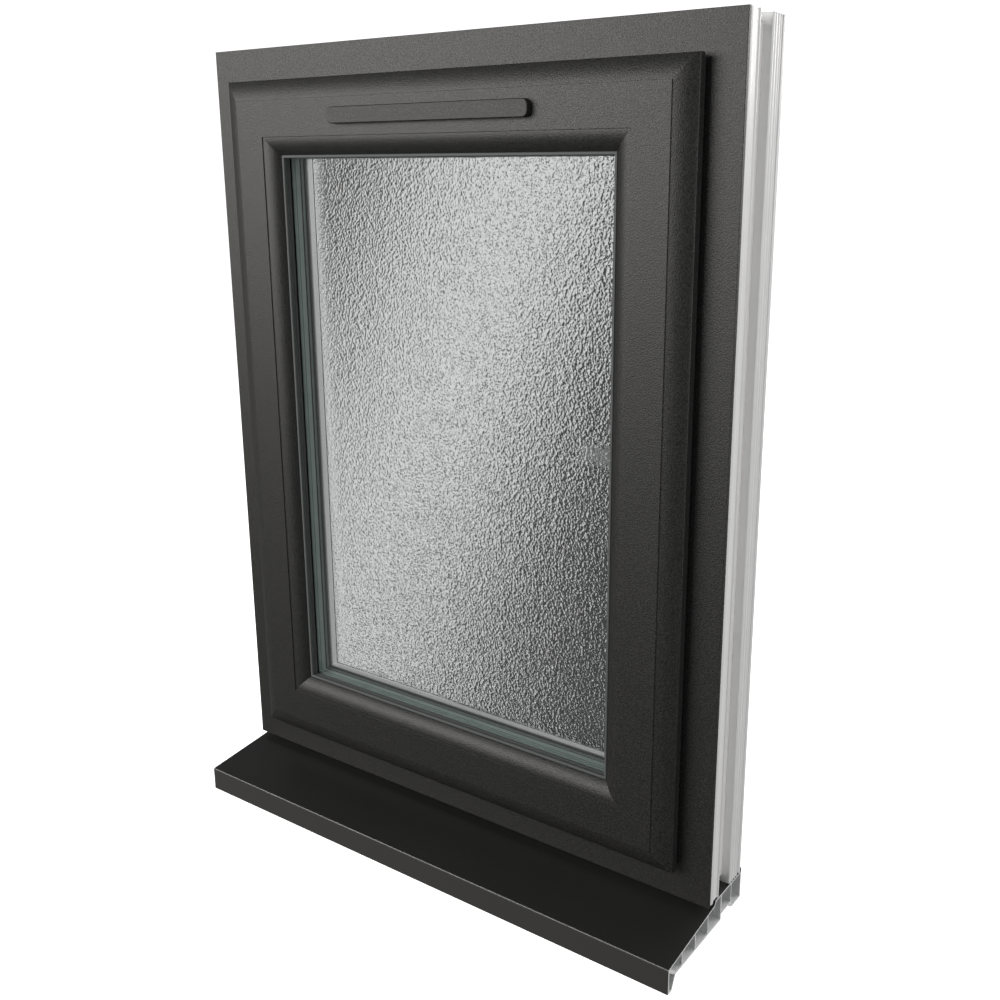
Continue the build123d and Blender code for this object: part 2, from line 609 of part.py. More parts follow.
def bar_screw_places(side):
    """Screws that hold a stay's bar on the sash edge."""
    spots = (STAY_CX + BAR_SCREW_NEAR, STAY_CX + BAR_SCREW_FAR,
             STAY_CX + STAY_B_FROM_C + BAR_END - SCREW_EDGE)
    direction = (0, 0, 1) if side == "base" else (0, 0, -1)
    deep = SASH_EDGE - BAR_T
    z = BASE_Z + deep if side == "base" else TOP_Z - deep
    return [((LEFT + s, GROOVE_Y, z), direction) for s in spots]


def cam_heights():
    middle = (CAM_COUNT - 1) / 2
    spacing = (FACEPLATE_L / 2 - CAM_FROM_END) / middle
    return [SPINDLE_Z + CAM_TRAVEL / 2 + (i - middle) * spacing for i in range(CAM_COUNT)]


def keep_screw_places():
    x = -LEFT - FRAME_FLOOR - KEEP_T
    return [((x, GROOVE_Y + KEEP_SCREW_IN, z + side * (KEEP_L / 2 - SCREW_EDGE) - KEEP_DROP), (1, 0, 0))
            for z in cam_heights() for side in (-1, 1)]


def faceplate_screw_places():
    x = -LEFT - SASH_EDGE - GROOVE_DEEP + FACEPLATE_T
    half = FACEPLATE_L / 2 - 2 * SCREW_EDGE
    return [((x, GROOVE_Y, SPINDLE_Z + s), (-1, 0, 0)) for s in (-half, half)]


def handle_screw_places():
    y = SASH_BACK + PLATE_T - PLATE_WELL
    return [((SPINDLE_X, y, SPINDLE_Z + s * HANDLE_CENTRES / 2), (0, -1, 0)) for s in (-1, 1)]


def vent_screw_places():
    y = SASH_BACK + VENT_BODY_WALL
    half = VENT_BODY_L / 2 - VENT_CAP_L - VENT_SCREW_IN
    return [((VENT_X + s * half, y, VENT_BODY_Z), (0, -1, 0)) for s in (-1, 1)]


def sill_screw_places():
    y = sum(SILL_RECESS_Y) / 2
    return [((s * FRAME_W * 0.32, y, SILL_RECESS_RISE), (0, 0, 1)) for s in (-1, 0, 1)]


# Frame and sill
def build_frame():
    section = frame_section()
    parts = {}
    for side, name in (("head", "frame_head"), ("base", "frame_base"), ("left", "frame_jamb_left"),
                       ("right", "frame_jamb_right")):
        parts[name] = member(section, side)
    for side, name in (("head", "frame_head"), ("base", "frame_base")):
        parts[name] = bored(parts[name], track_screw_places(side), SCREW_L)
    parts["frame_base"] = bored(parts["frame_base"], sill_screw_places(), SILL_SCREW_L)
    parts["frame_jamb_right"] = bored(parts["frame_jamb_right"], keep_screw_places(), SCREW_L)
    for s in (DRAIN_FROM_CORNER, FRAME_W - DRAIN_FROM_CORNER):
        slot = opened("base", FRAME_FLOOR - FRAME_WALL * 2, FRAME_FLOOR + CUT_PAST, DRAIN_Y,
                      DRAIN_Y + DRAIN_W, s - DRAIN_L / 2, s + DRAIN_L / 2)
        under = opened("base", -CUT_PAST, FRAME_WALL * 2, DRAIN_Y, DRAIN_Y + DRAIN_W,
                       s + DRAIN_OFFSET, s + DRAIN_OFFSET + DRAIN_L)
        parts["frame_base"] = single(parts["frame_base"] - slot - under)
    return parts


def build_sill():
    plane = Plane(origin=(LEFT, 0, 0), x_dir=(0, 1, 0), z_dir=(1, 0, 0))
    solid = Solid.extrude(sill_section().moved(plane.location), Vector(FRAME_W, 0, 0))
    return bored(solid, sill_screw_places(), SILL_SCREW_L)


# Sash and glazing
def vent_slots():
    """The two slots that let air through the sash head."""
    half = VENT_SLOT_BRIDGE / 2
    low, high = VENT_Z - VENT_SLOT_H / 2, VENT_Z + VENT_SLOT_H / 2
    return [block(VENT_X + a, VENT_X + b, -SASH_PROUD - 1, SASH_BACK + 1, low, high)
            for a, b in ((-half - VENT_SLOT_L, -half), (half, half + VENT_SLOT_L))]


def build_sash():
    section = sash_section()
    parts = {}
    for side, name in (("head", "sash_head"), ("base", "sash_base"), ("left", "sash_stile_hinge"),
                       ("right", "sash_stile_lock")):
        parts[name] = member(section, side)
    for side, name in (("head", "sash_head"), ("base", "sash_base")):
        parts[name] = bored(parts[name], bar_screw_places(side), SCREW_L)
    for slot in vent_slots():
        parts["sash_head"] = single(parts["sash_head"] - slot)
    parts["sash_head"] = bored(parts["sash_head"], vent_screw_places(), SCREW_L)
    stile = bored(parts["sash_stile_lock"], faceplate_screw_places(), SCREW_L)
    gap = 0.4
    pocket = block(SPINDLE_X - CASE_DEEP + BACKSET - GROOVE_DEEP - gap,
                   -LEFT - SASH_EDGE - GROOVE_DEEP + gap,
                   GROOVE_Y - CASE_W / 2 - gap, GROOVE_Y + CASE_W / 2 + gap,
                   SPINDLE_Z - CASE_L / 2 - gap, SPINDLE_Z + CASE_L / 2 + gap)
    spindle_way = rod((SPINDLE_X, GROOVE_Y, SPINDLE_Z), (0, 1, 0), SPINDLE * 0.5 + 3.5, FRAME_D)
    stile = stile - pocket - spindle_way
    for point, direction in handle_screw_places():
        stile = stile - prism(point, direction, SCREW_R + SCREW_LAP * 4, HANDLE_SCREW_L)
    parts["sash_stile_lock"] = single(stile)
    for s in (DRAIN_FROM_CORNER, FRAME_W - DRAIN_FROM_CORNER):
        front = GROOVE_Y - GROOVE_SLOT_W / 2 - DRAIN_DROP
        slot = opened("base", SASH_EDGE - CUT_PAST, SASH_FLOOR + CUT_PAST, front, front + DRAIN_W,
                      s - DRAIN_L / 2, s + DRAIN_L / 2)
        parts["sash_base"] = single(parts["sash_base"] - slot)
    return parts


def build_glazing():
    half_w, low, high = -LEFT - GLASS_EDGE, BASE_Z + GLASS_EDGE, TOP_Z - GLASS_EDGE
    parts = {
        "outer_pane": block(-half_w, half_w, GLASS_Y, GLASS_Y + PANE_T, low, high),
        "inner_pane": block(-half_w, half_w, GLASS_BACK - PANE_T, GLASS_BACK, low, high),
    }
    y0, y1 = GLASS_Y + PANE_T, GLASS_BACK - PANE_T
    middle = (y0 + y1) / 2
    start = SPACER_SIGHT - SPACER_W
    spacer = outline((start, y0 + 1.2), (start + 1.2, y0), (SPACER_SIGHT, y0),
                     (SPACER_SIGHT, middle - 1.3), (SPACER_SIGHT - SPACER_GROOVE, middle),
                     (SPACER_SIGHT, middle + 1.3), (SPACER_SIGHT, y1), (start + 1.2, y1), (start, y1 - 1.2))
    bore = rectangle(start + 1.4, SPACER_SIGHT - SPACER_GROOVE - 1.2, y0 + 1.8, y1 - 1.8)
    parts["spacer_bar"] = ring(Face(spacer, [bore]))
    parts["edge_seal"] = ring(Face(rectangle(GLASS_EDGE, start, y0, y1)))
    parts["glazing_gasket"] = ring(glazing_gasket_section())
    parts["bead_gasket"] = ring(bead_gasket_section())
    bead = bead_section()
    for side in SIDES:
        parts["bead_" + side] = member(bead, side)
    packers = []
    for side in SIDES:
        length = SIDES[side][3]
        near = GLASS_EDGE + PACKER_FROM_CORNER
        for s in ((near, length - near - PACKER_L) if side == "base" else (near,)):
            packers.append(opened(side, SASH_FLOOR, GLASS_EDGE, GLASS_Y + 1, GLASS_BACK, s, s + PACKER_L))
    parts["glazing_packers"] = group(packers)
    return parts


# Friction stays: the level of each layer above the frame floor, and the way up for each stay
TRACK_TOP = TRACK_T + TRACK_LIP
SHORT_LOW = TRACK_TOP + LEVEL_GAP
SHORT_HIGH = SHORT_LOW + ARM_T
LONG_LOW = SHORT_HIGH + LEVEL_GAP
LONG_HIGH = LONG_LOW + ARM_T
BAR_LOW = HARDWARE_GAP - BAR_T
STAYS = {"bottom": (BASE_Z + FRAME_FLOOR, 1), "top": (TOP_Z - FRAME_FLOOR, -1)}


def layer(which, low, high):
    """Start height and signed thickness of a stay layer, given above the frame floor."""
    floor, way = STAYS[which]
    return floor + way * low, way * (high - low)


def plate(which, wire, low, high, holes=()):
    """Flat piece of a stay, cut from sheet, with round holes given as (x, y, radius)."""
    z, thick = layer(which, low, high)
    face = Face(wire)
    solid = Solid.extrude(face.moved(Location((0, 0, z))), Vector(0, 0, thick))
    for x, y, radius in holes:
        solid = solid - rod((x, y, z - thick), (0, 0, 1 if thick > 0 else -1), radius, abs(thick) * 3)
    return single(solid)


def arm_outline(x0, x1, r0, r1, half):
    """Straight arm along X with a round eye at each end."""
    s0 = (r0 * r0 - half * half) ** 0.5
    s1 = (r1 * r1 - half * half) ** 0.5
    y = GROOVE_Y
    return outline((x0 + s0, y - half), (x1 - s1, y - half), ((x1 + r1, y), (x1 - s1, y + half)),
                   (x0 + s0, y + half), ((x0 - r0, y), (x0 + s0, y - half)))


def pin(which, x, radius, low, high):
    z, thick = layer(which, low, high)
    up = (0, 0, 1 if thick > 0 else -1)
    return turned((x, GROOVE_Y, z), up, [(radius, 0), (radius, abs(thick))], PIN_SIDES)


def build_stay(which):
    """One friction stay: track and fixed pivots on the frame, two arms, and the bar on the sash."""
    side = "base" if which == "bottom" else "head"
    c, a = PIVOT_X, PIVOT_X + STAY_SHORT
    b, d = PIVOT_X + STAY_B_FROM_C, PIVOT_X + STAY_D_FROM_C
    half = TRACK_W / 2
    x0, x1 = c + ARM_EYE_R, b + TRACK_END
    section = outline((GROOVE_Y - half, 0), (GROOVE_Y + half, 0), (GROOVE_Y + half, TRACK_TOP),
                      (GROOVE_Y + half - TRACK_LIP, TRACK_TOP), (GROOVE_Y + half - TRACK_LIP, TRACK_T),
                      (GROOVE_Y - half + TRACK_LIP, TRACK_T), (GROOVE_Y - half + TRACK_LIP, TRACK_TOP),
                      (GROOVE_Y - half, TRACK_TOP))
    floor, way = STAYS[which]
    if way > 0:
        plane = Plane(origin=(x0, 0, floor), x_dir=(0, 1, 0), z_dir=(1, 0, 0))
        channel = Solid.extrude(Face(section).moved(plane.location), Vector(x1 - x0, 0, 0))
    else:
        plane = Plane(origin=(x1, 0, floor), x_dir=(0, 1, 0), z_dir=(-1, 0, 0))
        channel = Solid.extrude(Face(section).moved(plane.location), Vector(x0 - x1, 0, 0))
    track = bored(channel, track_screw_places(side), SCREW_L)
    track = track + pin(which, a, PIVOT_R, TRACK_T, SHORT_HIGH)
    track = track + pin(which, b, PIVOT_R, TRACK_T, LONG_HIGH)
    track = track + pin(which, b, COLLAR_R, TRACK_T, LONG_LOW - LEVEL_GAP)
    eye = PIVOT_R + PIVOT_FIT
    short = plate(which, arm_outline(c, a, ARM_EYE_R, ARM_EYE_R, ARM_W / 2), SHORT_LOW, SHORT_HIGH,
                  [(c, GROOVE_Y, eye), (a, GROOVE_Y, eye)])
    long_end = b - STAY_LONG
    long = plate(which, arm_outline(long_end, b, LONG_EYE_R, ARM_EYE_R, ARM_W / 2), LONG_LOW, LONG_HIGH,
                 [(long_end, GROOVE_Y, OPEN_PIVOT_R + OPEN_PIVOT_CLEAR), (b, GROOVE_Y, eye)])
    half = BAR_W / 2
    end = b + BAR_END
    bar_wire = outline((c, GROOVE_Y - half), (end, GROOVE_Y - half), (end, GROOVE_Y + half),
                       (c, GROOVE_Y + half), ((c - half, GROOVE_Y), (c, GROOVE_Y - half)))
    bar = plate(which, bar_wire, BAR_LOW, HARDWARE_GAP)
    bar = bored(bar, bar_screw_places(side), SCREW_L)
    bar = bar + pin(which, c, PIVOT_R, SHORT_LOW, BAR_LOW)
    bar = bar + pin(which, c, COLLAR_R, SHORT_HIGH + LEVEL_GAP, BAR_LOW)
    bar = bar + pin(which, d, OPEN_PIVOT_R, LONG_LOW, BAR_LOW)
    bar = bar + pin(which, d, COLLAR_R, LONG_HIGH + LEVEL_GAP, BAR_LOW)
    return {"stay_track_" + which: single(track), "short_arm_" + which: short, "long_arm_" + which: long,
            "sash_bar_" + which: single(bar)}


# Lock: everything stands at the lock-side sash edge, x = EDGE_X
EDGE_X = -LEFT - SASH_EDGE


def build_lock():
    low, high = SPINDLE_Z - FACEPLATE_L / 2, SPINDLE_Z + FACEPLATE_L / 2
    half = FACEPLATE_W / 2
    plate_x0 = EDGE_X - GROOVE_DEEP
    faceplate = block(plate_x0, plate_x0 + FACEPLATE_T, GROOVE_Y - half, GROOVE_Y + half, low, high)
    for z in cam_heights():
        slot = block(plate_x0 - 1, EDGE_X + 1, GROOVE_Y - CAM_R - ROD_FIT, GROOVE_Y + CAM_R + ROD_FIT,
                     z - CAM_TRAVEL - CAM_R - 0.6, z + CAM_R + 0.6)
        faceplate = faceplate - slot
    faceplate = bored(faceplate, faceplate_screw_places(), SCREW_L)
    rod_x1 = plate_x0 - ROD_FIT
    rod_x0 = rod_x1 - ROD_T
    shift = CAM_TRAVEL / 2
    strip = block(rod_x0, rod_x1, GROOVE_Y - ROD_W / 2, GROOVE_Y + ROD_W / 2, low + ROD_SHORTER + shift,
                  high - ROD_SHORTER + shift)
    cams = []
    head_x = EDGE_X + CAM_REACH - CAM_HEAD_T
    for z in cam_heights():
        stem = prism((rod_x1, GROOVE_Y, z), (1, 0, 0), CAM_R, head_x - rod_x1)
        head = prism((head_x, GROOVE_Y, z), (1, 0, 0), CAM_HEAD_R, CAM_HEAD_T)
        cams.append(single(stem + head))
    case_x1 = rod_x0 - ROD_FIT
    case = block(SPINDLE_X - CASE_DEEP + BACKSET - GROOVE_DEEP, case_x1, GROOVE_Y - CASE_W / 2,
                 GROOVE_Y + CASE_W / 2, SPINDLE_Z - CASE_L / 2, SPINDLE_Z + CASE_L / 2)
    case = case - rod((SPINDLE_X, 0, SPINDLE_Z), (0, 1, 0), FOLLOWER_R + PIVOT_FIT, FRAME_D)
    for point, direction in handle_screw_places():
        case = case - prism(point, direction, SCREW_R + SCREW_LAP, FRAME_D)
    follower = rod((SPINDLE_X, GROOVE_Y - CASE_W / 2, SPINDLE_Z), (0, 1, 0), FOLLOWER_R, CASE_W)
    square = SPINDLE / 2 + SPINDLE_FIT
    follower = follower - block(SPINDLE_X - square, SPINDLE_X + square, 0, FRAME_D, SPINDLE_Z - square,
                                SPINDLE_Z + square)
    parts = {"lock_faceplate": single(faceplate), "locking_rod": strip, "locking_cams": group(cams),
             "gearbox_case": single(case), "gearbox_follower": single(follower)}
    floor_x = -LEFT - FRAME_FLOOR
    for number, z in enumerate(cam_heights()):
        base = block(floor_x - KEEP_T, floor_x, GROOVE_Y - KEEP_W / 2, GROOVE_Y + KEEP_W / 2,
                     z - KEEP_DROP - KEEP_L / 2, z - KEEP_DROP + KEEP_L / 2)
        top = z - CAM_HEAD_R - KEEP_MOUTH
        wall_y1 = GROOVE_Y - CAM_HEAD_R - KEEP_CLEAR
        lip_x = EDGE_X + CAM_REACH - CAM_HEAD_T - KEEP_CLEAR
        bottom = z - CAM_TRAVEL - CAM_HEAD_R - KEEP_REACH
        wall = block(lip_x - KEEP_LIP_T, floor_x - KEEP_T, wall_y1 - KEEP_WALL, wall_y1, bottom, top)
        lip = block(lip_x - KEEP_LIP_T, lip_x, wall_y1, GROOVE_Y - CAM_R - KEEP_CLEAR / 2, bottom, top)
        keep = bored(base + wall + lip, keep_screw_places()[2 * number:2 * number + 2], SCREW_L)
        parts["keep_" + ("lower", "middle", "upper")[number]] = keep
    return parts


# Handle: stands on the room face of the lock stile, lever pointing at the hinge side when unlocked
def build_handle():
    y0 = SASH_BACK
    y1 = y0 + PLATE_T
    x, z = SPINDLE_X, SPINDLE_Z
    half, straight = PLATE_W / 2, PLATE_L / 2 - PLATE_W / 2
    plane = Plane(origin=(x, y0, z), x_dir=(1, 0, 0), z_dir=(0, 1, 0))
    shape = outline((-half, -straight), ((0, -straight - half), (half, -straight)), (half, straight),
                    ((0, straight + half), (-half, straight)))
    backplate = Solid.extrude(Face(shape).moved(plane.location), Vector(0, PLATE_T, 0))
    rim = backplate.faces().sort_by(Axis.Y)[-1].edges()
    backplate = backplate.chamfer(PLATE_CHAMFER, None, rim)
    backplate = backplate - rod((x, y0 - 1, z), (0, 1, 0), SPINDLE / 2 + 3.0, PLATE_T + 2)
    for point, direction in handle_screw_places():
        well = prism((point[0], y1 + 1, point[2]), direction, SCREW_HEAD_R + SCREW_LAP * 4, PLATE_WELL + 1)
        backplate = backplate - well - screw_hole(point, direction, PLATE_T)
    neck_y0 = y1 + TURN_GAP
    lever_y0 = neck_y0 + NECK_L
    neck = rod((x, neck_y0, z), (0, 1, 0), NECK_R, NECK_L + 1)
    dr = LEVER_R - LEVER_TIP_R
    lean = dr / LEVER_L
    up = (1 - lean * lean) ** 0.5
    plane = Plane(origin=(x, lever_y0, z), x_dir=(-1, 0, 0), z_dir=(0, 1, 0))
    wire = outline((LEVER_R * lean, -LEVER_R * up), (LEVER_L + LEVER_TIP_R * lean, -LEVER_TIP_R * up),
                   ((LEVER_L + LEVER_TIP_R, 0), (LEVER_L + LEVER_TIP_R * lean, LEVER_TIP_R * up)),
                   (LEVER_R * lean, LEVER_R * up), ((-LEVER_R, 0), (LEVER_R * lean, -LEVER_R * up)))
    grip = Solid.extrude(Face(wire).moved(plane.location), Vector(0, LEVER_T, 0))
    ends = grip.faces().filter_by(Axis.Y).edges()
    grip = grip.chamfer(LEVER_ROUND, None, ends)
    bore = BUTTON_R + BUTTON_FIT
    lever = neck + grip - rod((x, lever_y0 + LEVER_T, z), (0, -1, 0), bore, BUTTON_BORE)
    square = SPINDLE / 2 + SPINDLE_FIT
    socket = block(x - square, x + square, neck_y0 - 1, neck_y0 + SOCKET_L, z - square, z + square)
    lever = single(lever - socket)
    half = SPINDLE / 2
    spindle = block(x - half, x + half, GROOVE_Y - CASE_W / 2, neck_y0 + SOCKET_L - 1, z - half, z + half)
    button_y1 = lever_y0 + LEVER_T + BUTTON_OUT
    button_y0 = lever_y0 + LEVER_T - BUTTON_BORE + BUTTON_TRAVEL + TURN_GAP
    button = rod((x, button_y0, z), (0, 1, 0), BUTTON_R, button_y1 - button_y0)
    half = BUTTON_SLOT_W / 2
    button = button - block(x - half, x + half, button_y1 - BUTTON_SLOT_W, button_y1 + 1, z - BUTTON_R / 2,
                            z + BUTTON_R / 2)
    return {"handle_backplate": single(backplate), "handle_lever": lever, "handle_spindle": spindle,
            "lock_button": single(button)}


# Trickle vent
def build_vent():
    x0, x1 = VENT_X - CANOPY_L / 2, VENT_X + CANOPY_L / 2
    y0, y1 = -SASH_PROUD - CANOPY_D, -SASH_PROUD
    z0, z1 = VENT_Z - CANOPY_H / 2, VENT_Z + CANOPY_H / 2
    hood = block(x0, x1, y0, y1, z0, z1)
    hood = hood.fillet(CANOPY_ROUND, hood.edges().filter_by(Axis.Y))
    hood = hood.chamfer(CANOPY_CHAMFER, None, hood.faces().sort_by(Axis.Y)[0].edges())
    w = CANOPY_WALL
    inside = block(x0 + CANOPY_ROUND, x1 - CANOPY_ROUND, y0 + w, y1 + 1, z0 + w, z1 - w)
    mouth = block(x0 + CANOPY_ROUND + 2, x1 - CANOPY_ROUND - 2, y0 + w + 0.6, y1 - 0.8, z0 - 1, z0 + w + 1)
    canopy = single(hood - inside - mouth)
    body_x0, body_x1 = VENT_X - VENT_BODY_L / 2, VENT_X + VENT_BODY_L / 2
    low, high = VENT_BODY_Z - VENT_BODY_H / 2, VENT_BODY_Z + VENT_BODY_H / 2
    yb, yf = SASH_BACK, SASH_BACK + VENT_BODY_D
    t = VENT_BODY_WALL
    gap = VENT_SLIDE_GAP
    section = outline((yb, low), (yb, high), (yf - 3.0, high), (yf, high - 4.0), (yf, low + 4.0),
                      (yf - 3.0, low))
    hollow = outline((yb + t, low + t), (yb + t, high - t), (yf - 3.6, high - t), (yf - t, high - 5.0),
                     (yf - t, low + 5.0), (yf - 3.6, low + t))
    plane = Plane(origin=(body_x0 + VENT_CAP_L, 0, 0), x_dir=(0, 1, 0), z_dir=(1, 0, 0))
    inner_l = VENT_BODY_L - 2 * VENT_CAP_L
    body = Solid.extrude(Face(section, [hollow]).moved(plane.location), Vector(inner_l, 0, 0))
    for slot in vent_slots():
        body = body - slot
    pitch = 2 * VENT_PORT_L
    run = (VENT_PORT_COUNT - 1) * pitch
    ports = []
    for i in range(VENT_PORT_COUNT):
        start = VENT_X - run / 2 - VENT_PORT_L / 2 - VENT_TRAVEL / 2 + i * pitch
        port = block(start, start + VENT_PORT_L, yf - t - 1, yf + 1, VENT_PORT_Z - VENT_PORT_H / 2,
                     VENT_PORT_Z + VENT_PORT_H / 2)
        ports.append(port)
        body = body - port
    body = bored(body, vent_screw_places(), SCREW_L)
    caps = []
    for start in (body_x0, body_x1 - VENT_CAP_L):
        plane = Plane(origin=(start, 0, 0), x_dir=(0, 1, 0), z_dir=(1, 0, 0))
        caps.append(Solid.extrude(Face(section).moved(plane.location), Vector(VENT_CAP_L, 0, 0)))
    shutter_y1 = yf - t - gap
    shutter_y0 = shutter_y1 - VENT_SLIDE_T
    tall = VENT_BODY_H / 2 - 5.0 - gap
    reach = inner_l / 2 - VENT_TRAVEL - 1.0
    shutter = block(VENT_X - reach, VENT_X + reach, shutter_y0, shutter_y1, VENT_BODY_Z - tall,
                    VENT_BODY_Z + tall)
    for port in ports:
        shutter = shutter - Pos(-VENT_PORT_L, -gap - 0.5, 0) * port
    return body, canopy, caps, shutter, (shutter_y1, yf)


def vent_with_knob():
    """The vent's pieces, with the slot in its front that the shutter's knob runs in."""
    body, canopy, caps, shutter, (y0, y1) = build_vent()
    half = VENT_KNOB_L / 2
    z1 = VENT_PORT_Z - VENT_PORT_H / 2 - VENT_KNOB_DROP
    z0 = z1 - VENT_KNOB_T
    fit = VENT_KNOB_FIT
    slot = block(VENT_X - half - fit, VENT_X + half + VENT_TRAVEL + fit, y0 - fit / 4, y1 + CUT_PAST,
                 z0 - fit, z1 + fit)
    knob = block(VENT_X - half, VENT_X + half, y0 - VENT_SLIDE_T / 3, y1 + VENT_KNOB_OUT, z0, z1)
    return {"vent_canopy": canopy, "vent_body": single(body - slot), "vent_end_caps": group(caps),
            "vent_shutter": single(shutter + knob)}


def build_screws():
    places = {
        "track_screws": (track_screw_places("base") + track_screw_places("head"), SCREW_L),
        "sash_bar_screws": (bar_screw_places("base") + bar_screw_places("head"), SCREW_L),
        "keep_screws": (keep_screw_places(), SCREW_L),
        "faceplate_screws": (faceplate_screw_places(), SCREW_L),
        "handle_screws": (handle_screw_places(), HANDLE_SCREW_L),
        "vent_screws": (vent_screw_places(), SCREW_L),
        "sill_screws": (sill_screw_places(), SILL_SCREW_L),
    }
    return {name: group([screw(p, d, length) for p, d in spots]) for name, (spots, length) in places.items()}


def build_all():
    parts = {}
    parts.update(build_frame())
    parts["sill"] = build_sill()
    parts["frame_seal_outer"] = ring(outer_seal_section())
    parts["frame_seal_inner"] = ring(inner_seal_section())
    parts.update(build_sash())
    parts.update(build_glazing())
    for which in STAYS:
        parts.update(build_stay(which))
    parts.update(build_lock())
    parts.update(build_handle())
    parts.update(vent_with_knob())
    parts.update(build_screws())
    return parts


os.makedirs("parts", exist_ok=True)
for name, shape in build_all().items():
    export_step(shape, "parts/" + name + ".step")
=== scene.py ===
"""Looks of the side-hung casement window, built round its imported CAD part.

The long profiles are swept round the window from their sections, and the rest keeps its CAD form.
Sections are drawn as (m, y) in millimetres: m inwards from the frame's outer edge, y into the wall.
"""

import bmesh
import bpy
import numpy as np
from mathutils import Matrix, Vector
from mathutils.geometry import tessellate_polygon


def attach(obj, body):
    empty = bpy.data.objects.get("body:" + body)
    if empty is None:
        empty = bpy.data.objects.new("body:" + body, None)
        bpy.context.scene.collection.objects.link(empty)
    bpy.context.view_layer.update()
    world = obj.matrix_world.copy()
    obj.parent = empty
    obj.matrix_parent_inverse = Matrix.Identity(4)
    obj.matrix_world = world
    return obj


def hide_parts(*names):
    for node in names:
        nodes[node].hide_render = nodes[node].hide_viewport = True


MM = 0.001

# Window
WIDTH = 600.0
HEIGHT = 778.0
BASE = 29.0
DEPTH = 70.0
FLOOR = 40.0
UPSTAND = 60.0
UPSTAND_Y = 52.0
SEAL_SLOT_W = 2.4
SEAL_SLOT_DEEP = 3.0
OUTER_SEAL_SLOT = 35.3
INNER_SEAL_SLOT = 54.8

# Outer edge of the frame: each front ridge is an arc through three points
FOIL_EDGE = 4.8
FRONT_RIDGES = (((0.5, 5.1), (0, 8.4), (0.9, 12.2)), ((0.7, 19.3), (0, 20.8), (1.1, 23.1)))
GROOVE_FLOOR = 1.0
GROOVE_START = 12.5
GROOVE_END = 18.9
CHANNEL_MOUTH = 2.6
CHANNEL_FLOOR = 8.3
CHANNEL_START = 23.6
CHANNEL_END = 44.7
REAR_RIDGES = (47.4, 51.7, 57.0, 61.4)
RIDGE_HALF = 0.7
VALLEY_AHEAD = 2.2
VALLEY_FLOOR = 0.75
SLOT_FLOOR = 1.6
SLOT_START = 63.2
SLOT_END = 64.8
# Depth into the grooves and channel at which the painted light in the white is full
RECESS_FULL = 2.4

# Sash
MARGIN = 32.0
PROUD = 21.8
LIP_BACK = -4.0
LIP_STEP = 2.0
LIP_FRONT = -12.6
LIP_CHAMFER = 0.9
SASH_EDGE = 52.0
SASH_BACK = 48.5
BAND = 51.5
BAND_END = 86.8
QUIRK = 1.0
SIGHT = 104.0
SASH_FLOOR = 88.5
NIB_FRONT = -12.6
NIB_BACK = -7.0
GASKET_SIGHT = 107.1
HARDWARE_FLOOR = 55.0
HARDWARE_FRONT = 13.8
HARDWARE_BACK = 30.2

# A point half-way round each ovolo: its m, and how far it has come from the crest to the ovolo's end
OUTER_OVOLO = (41.75, 0.33)
INNER_OVOLO = (96.95, 0.285)

# Glazing
PANE_BACK = -5.0
CAVITY_FRONT = -1.0
CAVITY_BACK = 15.0
ROOM_PANE_BACK = 19.0
BEAD_FRONT = 22.0
BEAD_SIGHT = 107.0
REVEAL_END = 30.0
BEAD_FOOT = 88.7
BEAD_EDGE = 93.7
BEAD_COVE = (99.0, 36.8)
GASKET_PAD = 96.2
BEAD_GASKET_FOOT = 98.0
SPACER_SIGHT = 107.5
SPACER_BACK = 100.5
SPACER_TAPER = 1.2
SEAM = 10.5
SEAM_DEEP = 0.9
SEAM_FLOOR_HALF = 0.4
SEAM_MOUTH_HALF = 0.8

# Sill, as depths and heights
NOSE = -76.0
NOSE_TOP = 13.0
NOSE_LOW = -13.0
STEP_Y = 13.5
STEP_TOP = 24.4
PAD_Y = 16.3
SILL_BACK = 71.9
RIM_TOP = 32.6
RIM_FRONT = 70.3
NOSE_BACK = -68.4
UNDER_FRONT = -62.2
RAISED_FRONT = 29.0
RAISED_BACK = 45.5
RAISED_FOOT = 52.0
RAISED = 6.0
SILL_WALL = 2.0
SILL_WEB = 1.3
LAST_WEB = 27.0
CHAMBER = 25.5
NOSE_CELL_TOP = 8.5
SECOND_CELL_FRONT = -71.6
PAD_WEB_FRONT = 49.2
PAD_WEB_BACK = 50.5
BACK_CELL_LOW = 5.0
BACK_CELL_FOOT = 54.0
FOIL_T = 0.45

